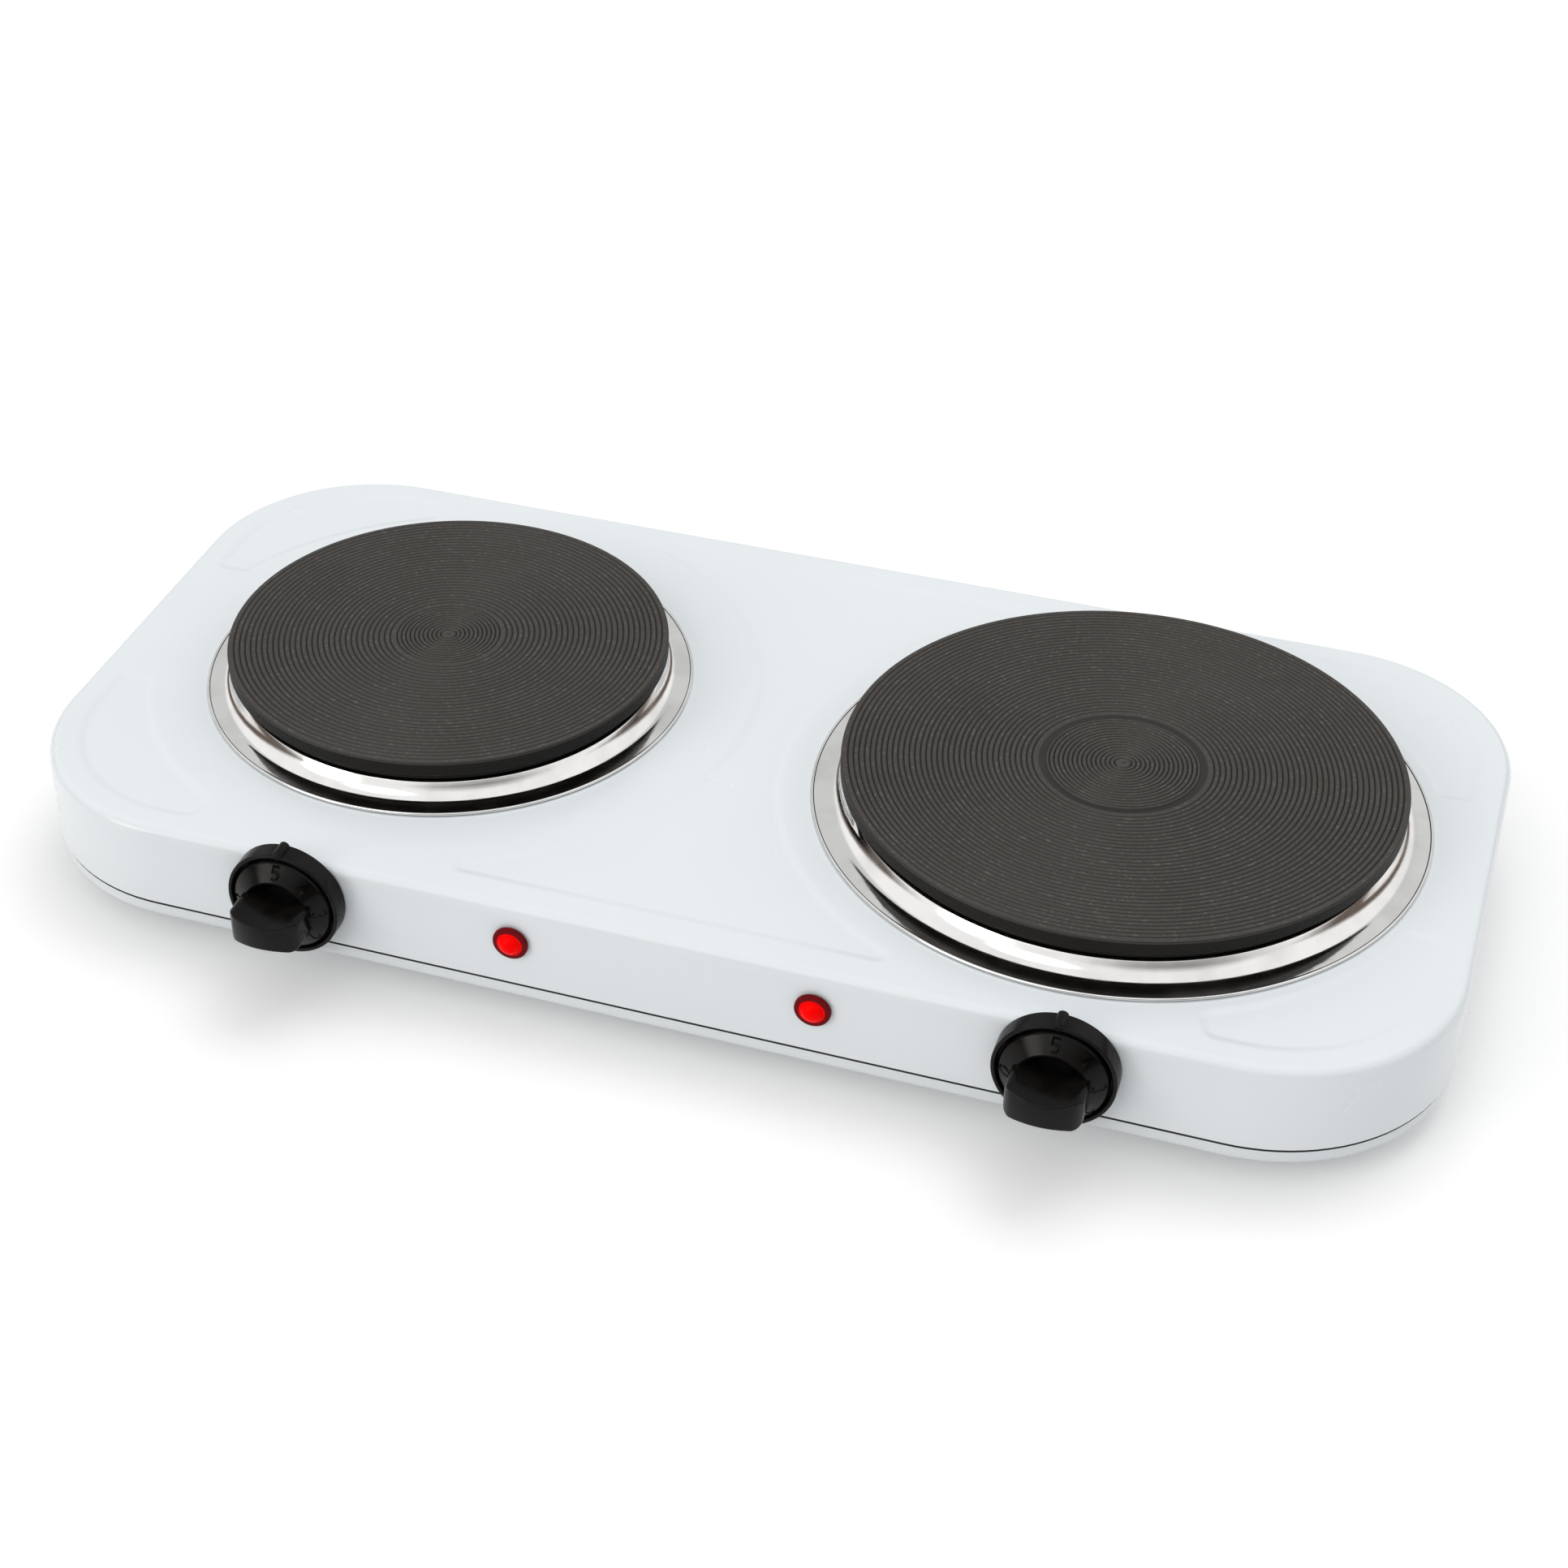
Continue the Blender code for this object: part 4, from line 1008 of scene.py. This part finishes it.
def make_knob(column):
    """Knob: a dished face, the number cone, the rim, and the hollow back with the bore for the shaft."""
    skirt = filleted(
        (
            (0, 6.8 * MM, 0),
            (7.6 * MM, 6.8 * MM, 1.2 * MM),
            (11.1 * MM, 11.3 * MM, 0.35 * MM),
            (*CONE[0], 0.3 * MM),
            (*CONE[1], 0.6 * MM),
            (KNOB_RIM, 6.7 * MM, 0.2 * MM),
            (KNOB_RIM, KNOB_BACK, 0.3 * MM),
            (KNOB_RECESS, KNOB_BACK, 0),
            (KNOB_RECESS, 0.8 * MM, 0.2 * MM),
            (KNOB_BORE, 0.8 * MM, 0),
            (KNOB_BORE, 5.7 * MM, 0),
            (0, 5.7 * MM, 0),
        )
    )
    stay = Matrix.Identity(4)
    tools = (("UNION", grip_mesh(), stay), ("DIFFERENCE", digit_strokes(), stay))
    mesh = combined(turned_mesh(skirt, 96), tools, angle=30)
    shaft = middle(f"thermostat_shaft_{column}")
    place, turn = (shaft.x, FRONT_Y, shaft.z), (math.radians(90), 0, 0)
    node, body = f"knob_{column}", f"{column}_control"
    add_piece(f"dial_{node}", mesh, body, "knob_plastic", [node], place, turn)


def make_bezel(column):
    """Bezel: a cup round the knob's back, with the pointer on top and a hole for each screw."""
    node = f"knob_bezel_{column}"
    low, high = corners(node)
    radius = (high.x - low.x) / 2
    wall = radius - BEZEL_WALL
    profile = filleted(
        (
            (radius, BEZEL_DEPTH, 0.6 * MM),
            (radius, STAND_OFF, 0),
            (BEZEL_BORE, STAND_OFF, 0),
            (BEZEL_BORE, BEZEL_FLOOR, 0),
            (wall, BEZEL_FLOOR, 0),
            (wall, BEZEL_DEPTH, 0.5 * MM),
        )
    )
    nub_corners = ((0, 0.8, 0), (1.8, 0.8, 0), (1.8, 7.2, 0.6), (0, 7.2, 0))
    nub = turned_mesh(filleted([(x * MM, y * MM, r * MM) for x, y, r in nub_corners]), 32)
    place = Matrix.Translation((0, radius - 0.1 * MM, 0))
    tools = [("UNION", nub, place)]
    for offset in (-BEZEL_SCREW, BEZEL_SCREW):
        tools.append(("DIFFERENCE", hole_mesh(SCREW_HOLE), Matrix.Translation((offset, 0, 0))))
    mesh = combined(turned_mesh(profile, 96), tools, angle=30)
    shaft = middle(f"thermostat_shaft_{column}")
    place, turn = (shaft.x, FRONT_Y, shaft.z), (math.radians(90), 0, 0)
    add_piece(f"collar_{node}", mesh, "cooker", "bezel_plastic", [node], place, turn)


def make_lens(column):
    """Lens: a dome, the flange that lies on the wall, and the hollow stem behind it."""
    node = f"indicator_lens_{column}"
    profile = arc((0, 0.35 * MM), 4.05 * MM, 90, 22, 9)
    profile += [(4.3 * MM, 1.75 * MM), (5.4 * MM, 1.75 * MM), (5.8 * MM, 1.55 * MM), (6.0 * MM, 1.1 * MM)]
    profile += [(6.0 * MM, STAND_OFF), (4.4 * MM, STAND_OFF), (4.4 * MM, -6.0 * MM), (3.4 * MM, -6.0 * MM)]
    profile += [(3.4 * MM, 1.2 * MM), (0, 1.2 * MM)]
    spot = middle(node)
    place, turn = (spot.x, FRONT_Y, spot.z), (math.radians(90), 0, 0)
    mesh = turned_mesh(profile, 64)
    add_piece(f"red_{node}", mesh, "cooker", "red_lens", [node], place, turn)


def make_gland():
    reach = corners("cable_gland")[1].y - REAR_Y
    profile = filleted(
        (
            (8.0 * MM, reach, 0.8 * MM),
            (9.2 * MM, 1.2 * MM, 0.3 * MM),
            (9.2 * MM, STAND_OFF, 0),
            (6.2 * MM, STAND_OFF, 0),
            (6.2 * MM, -8.0 * MM, 0.4 * MM),
            (4.0 * MM, -8.0 * MM, 0),
            (4.0 * MM, reach, 0.8 * MM),
        )
    )
    spot = middle("cable_gland")
    place, turn = (spot.x, REAR_Y, spot.z), (math.radians(-90), 0, 0)
    mesh = turned_mesh(profile, 64)
    add_piece("cord_gland", mesh, "cooker", "bezel_plastic", ["cable_gland"], place, turn)


# Floor, light and camera


def make_floor():
    bm = bmesh.new()
    bmesh.ops.create_grid(bm, x_segments=8, y_segments=8, size=4)
    floor = linked(mesh_from(bm), "studio_floor")
    look = Look("pale_floor", (0.84, 0.84, 0.84), 0.3, IOR=1.25, Emission_Color=(1, 1, 1, 1))
    look.shader.inputs["Emission Strength"].default_value = 0.12
    look.bump(look.noise(2 * MM, 2), 0.002 * MM)
    floor.data.materials.append(look.material)


def make_light():
    """One large soft lamp, high up behind the object, which leaves no image of itself in polished steel."""
    light = bpy.data.lights.new("top_light", "AREA")
    light.shape = "RECTANGLE"
    light.size, light.size_y = LAMP_SIZE
    light.energy = LAMP_POWER
    obj = bpy.data.objects.new("top_light", light)
    bpy.context.scene.collection.objects.link(obj)
    obj.location = LAMP_PLACE
    obj.rotation_euler = (LAMP_TARGET - Vector(LAMP_PLACE)).to_track_quat("-Z", "Y").to_euler()
    obj.visible_glossy = False


# What the studio reflects besides its white: direction, cosines where it begins and is full, and colour
PANELS = (
    # Grey, above and behind
    ((-0.3, 0.75, 0.6), 0.80, 0.95, (0.64, 0.65, 0.65)),
    # Dark, low on the right in front
    ((0.55, -0.82, -0.15), 0.60, 0.95, (0.08, 0.08, 0.08)),
    # Small and bright, on the left in front
    ((-0.62, -0.70, 0.33), 0.965, 0.985, (4.5, 4.4, 4.3)),
    # Small and bright, higher up in front
    ((-0.25, -0.66, 0.71), 0.965, 0.985, (2.5, 2.5, 2.4)),
)
BELOW_HORIZON = (0.72, 0.69, 0.66)
NEAR_HORIZON = (0.14, 0.11, 0.095)
UPPER_SKY = (0.95, 0.95, 0.95)
BACKDROP = (0.93, 0.93, 0.93)


def make_world():
    """A white studio, dark and warm near the horizon, with PANELS in it. The camera sees a plain backdrop."""
    world = bpy.data.worlds.new("studio")
    bpy.context.scene.world = world
    world.use_nodes = True
    tree = world.node_tree
    background = tree.nodes["Background"]
    direction = tree.nodes.new("ShaderNodeTexCoord").outputs["Generated"]

    def towards(target):
        node = tree.nodes.new("ShaderNodeVectorMath")
        node.operation = "DOT_PRODUCT"
        tree.links.new(direction, node.inputs[0])
        node.inputs[1].default_value = Vector(target).normalized()
        return node.outputs["Value"]

    def layer(under, value, low, high, color):
        """Mixes a colour over what is under it where value passes from low to high."""
        span = tree.nodes.new("ShaderNodeMapRange")
        span.interpolation_type = "SMOOTHSTEP"
        tree.links.new(value, span.inputs[0])
        span.inputs[1].default_value, span.inputs[2].default_value = low, high
        mix = tree.nodes.new("ShaderNodeMix")
        mix.data_type = "RGBA"
        tree.links.new(span.outputs[0], mix.inputs[0])
        if isinstance(under, bpy.types.NodeSocket):
            tree.links.new(under, mix.inputs[6])
        else:
            mix.inputs[6].default_value = (*under, 1)
        mix.inputs[7].default_value = (*color, 1)
        return mix.outputs[2]

    up = towards((0, 0, 1))
    sky = layer(BELOW_HORIZON, up, 0.01, 0.06, NEAR_HORIZON)
    sky = layer(sky, up, 0.15, 0.30, UPPER_SKY)
    for target, begins, full, color in PANELS:
        sky = layer(sky, towards(target), begins, full, color)
    seen = tree.nodes.new("ShaderNodeLightPath").outputs["Is Camera Ray"]
    tree.links.new(layer(sky, seen, 0, 1, BACKDROP), background.inputs["Color"])
    background.inputs["Strength"].default_value = 1.0


def make_camera():
    """The camera, aimed at a point in the plane of the housing's top."""
    azimuth, elevation, roll = (math.radians(a) for a in (AZIMUTH, ELEVATION, ROLL))
    aim = Vector((AIM_X + CENTRE.x, AIM_Y + CENTRE.y, SHELL_HIGH.z))
    forward = Vector(
        (
            -math.sin(azimuth) * math.cos(elevation),
            math.cos(azimuth) * math.cos(elevation),
            -math.sin(elevation),
        )
    )
    right = Vector((math.cos(azimuth), math.sin(azimuth), 0))
    up = right.cross(forward)
    turned_right = right * math.cos(roll) + up * math.sin(roll)
    turned_up = up * math.cos(roll) - right * math.sin(roll)
    data = bpy.data.cameras.new("camera")
    data.sensor_width = SENSOR
    data.lens = LENS
    data.shift_x, data.shift_y = LENS_SHIFT
    data.dof.use_dof = False
    camera = bpy.data.objects.new("camera", data)
    bpy.context.scene.collection.objects.link(camera)
    axes = Matrix((turned_right, turned_up, -forward)).transposed().to_4x4()
    camera.matrix_world = Matrix.Translation(aim - forward * CAMERA_DISTANCE) @ axes
    bpy.context.scene.camera = camera


dress_kept_nodes()
make_housing()
make_tray()
make_feet()
for suffix, _, _, _, pitch, ring_end in PLATES:
    make_plate(suffix, pitch, ring_end)
    make_ring(suffix)
for column, _ in SIDES:
    make_knob(column)
    make_bezel(column)
    make_lens(column)
make_gland()

make_floor()
make_light()
make_world()
bpy.context.scene.view_settings.view_transform = "Standard"
make_camera()
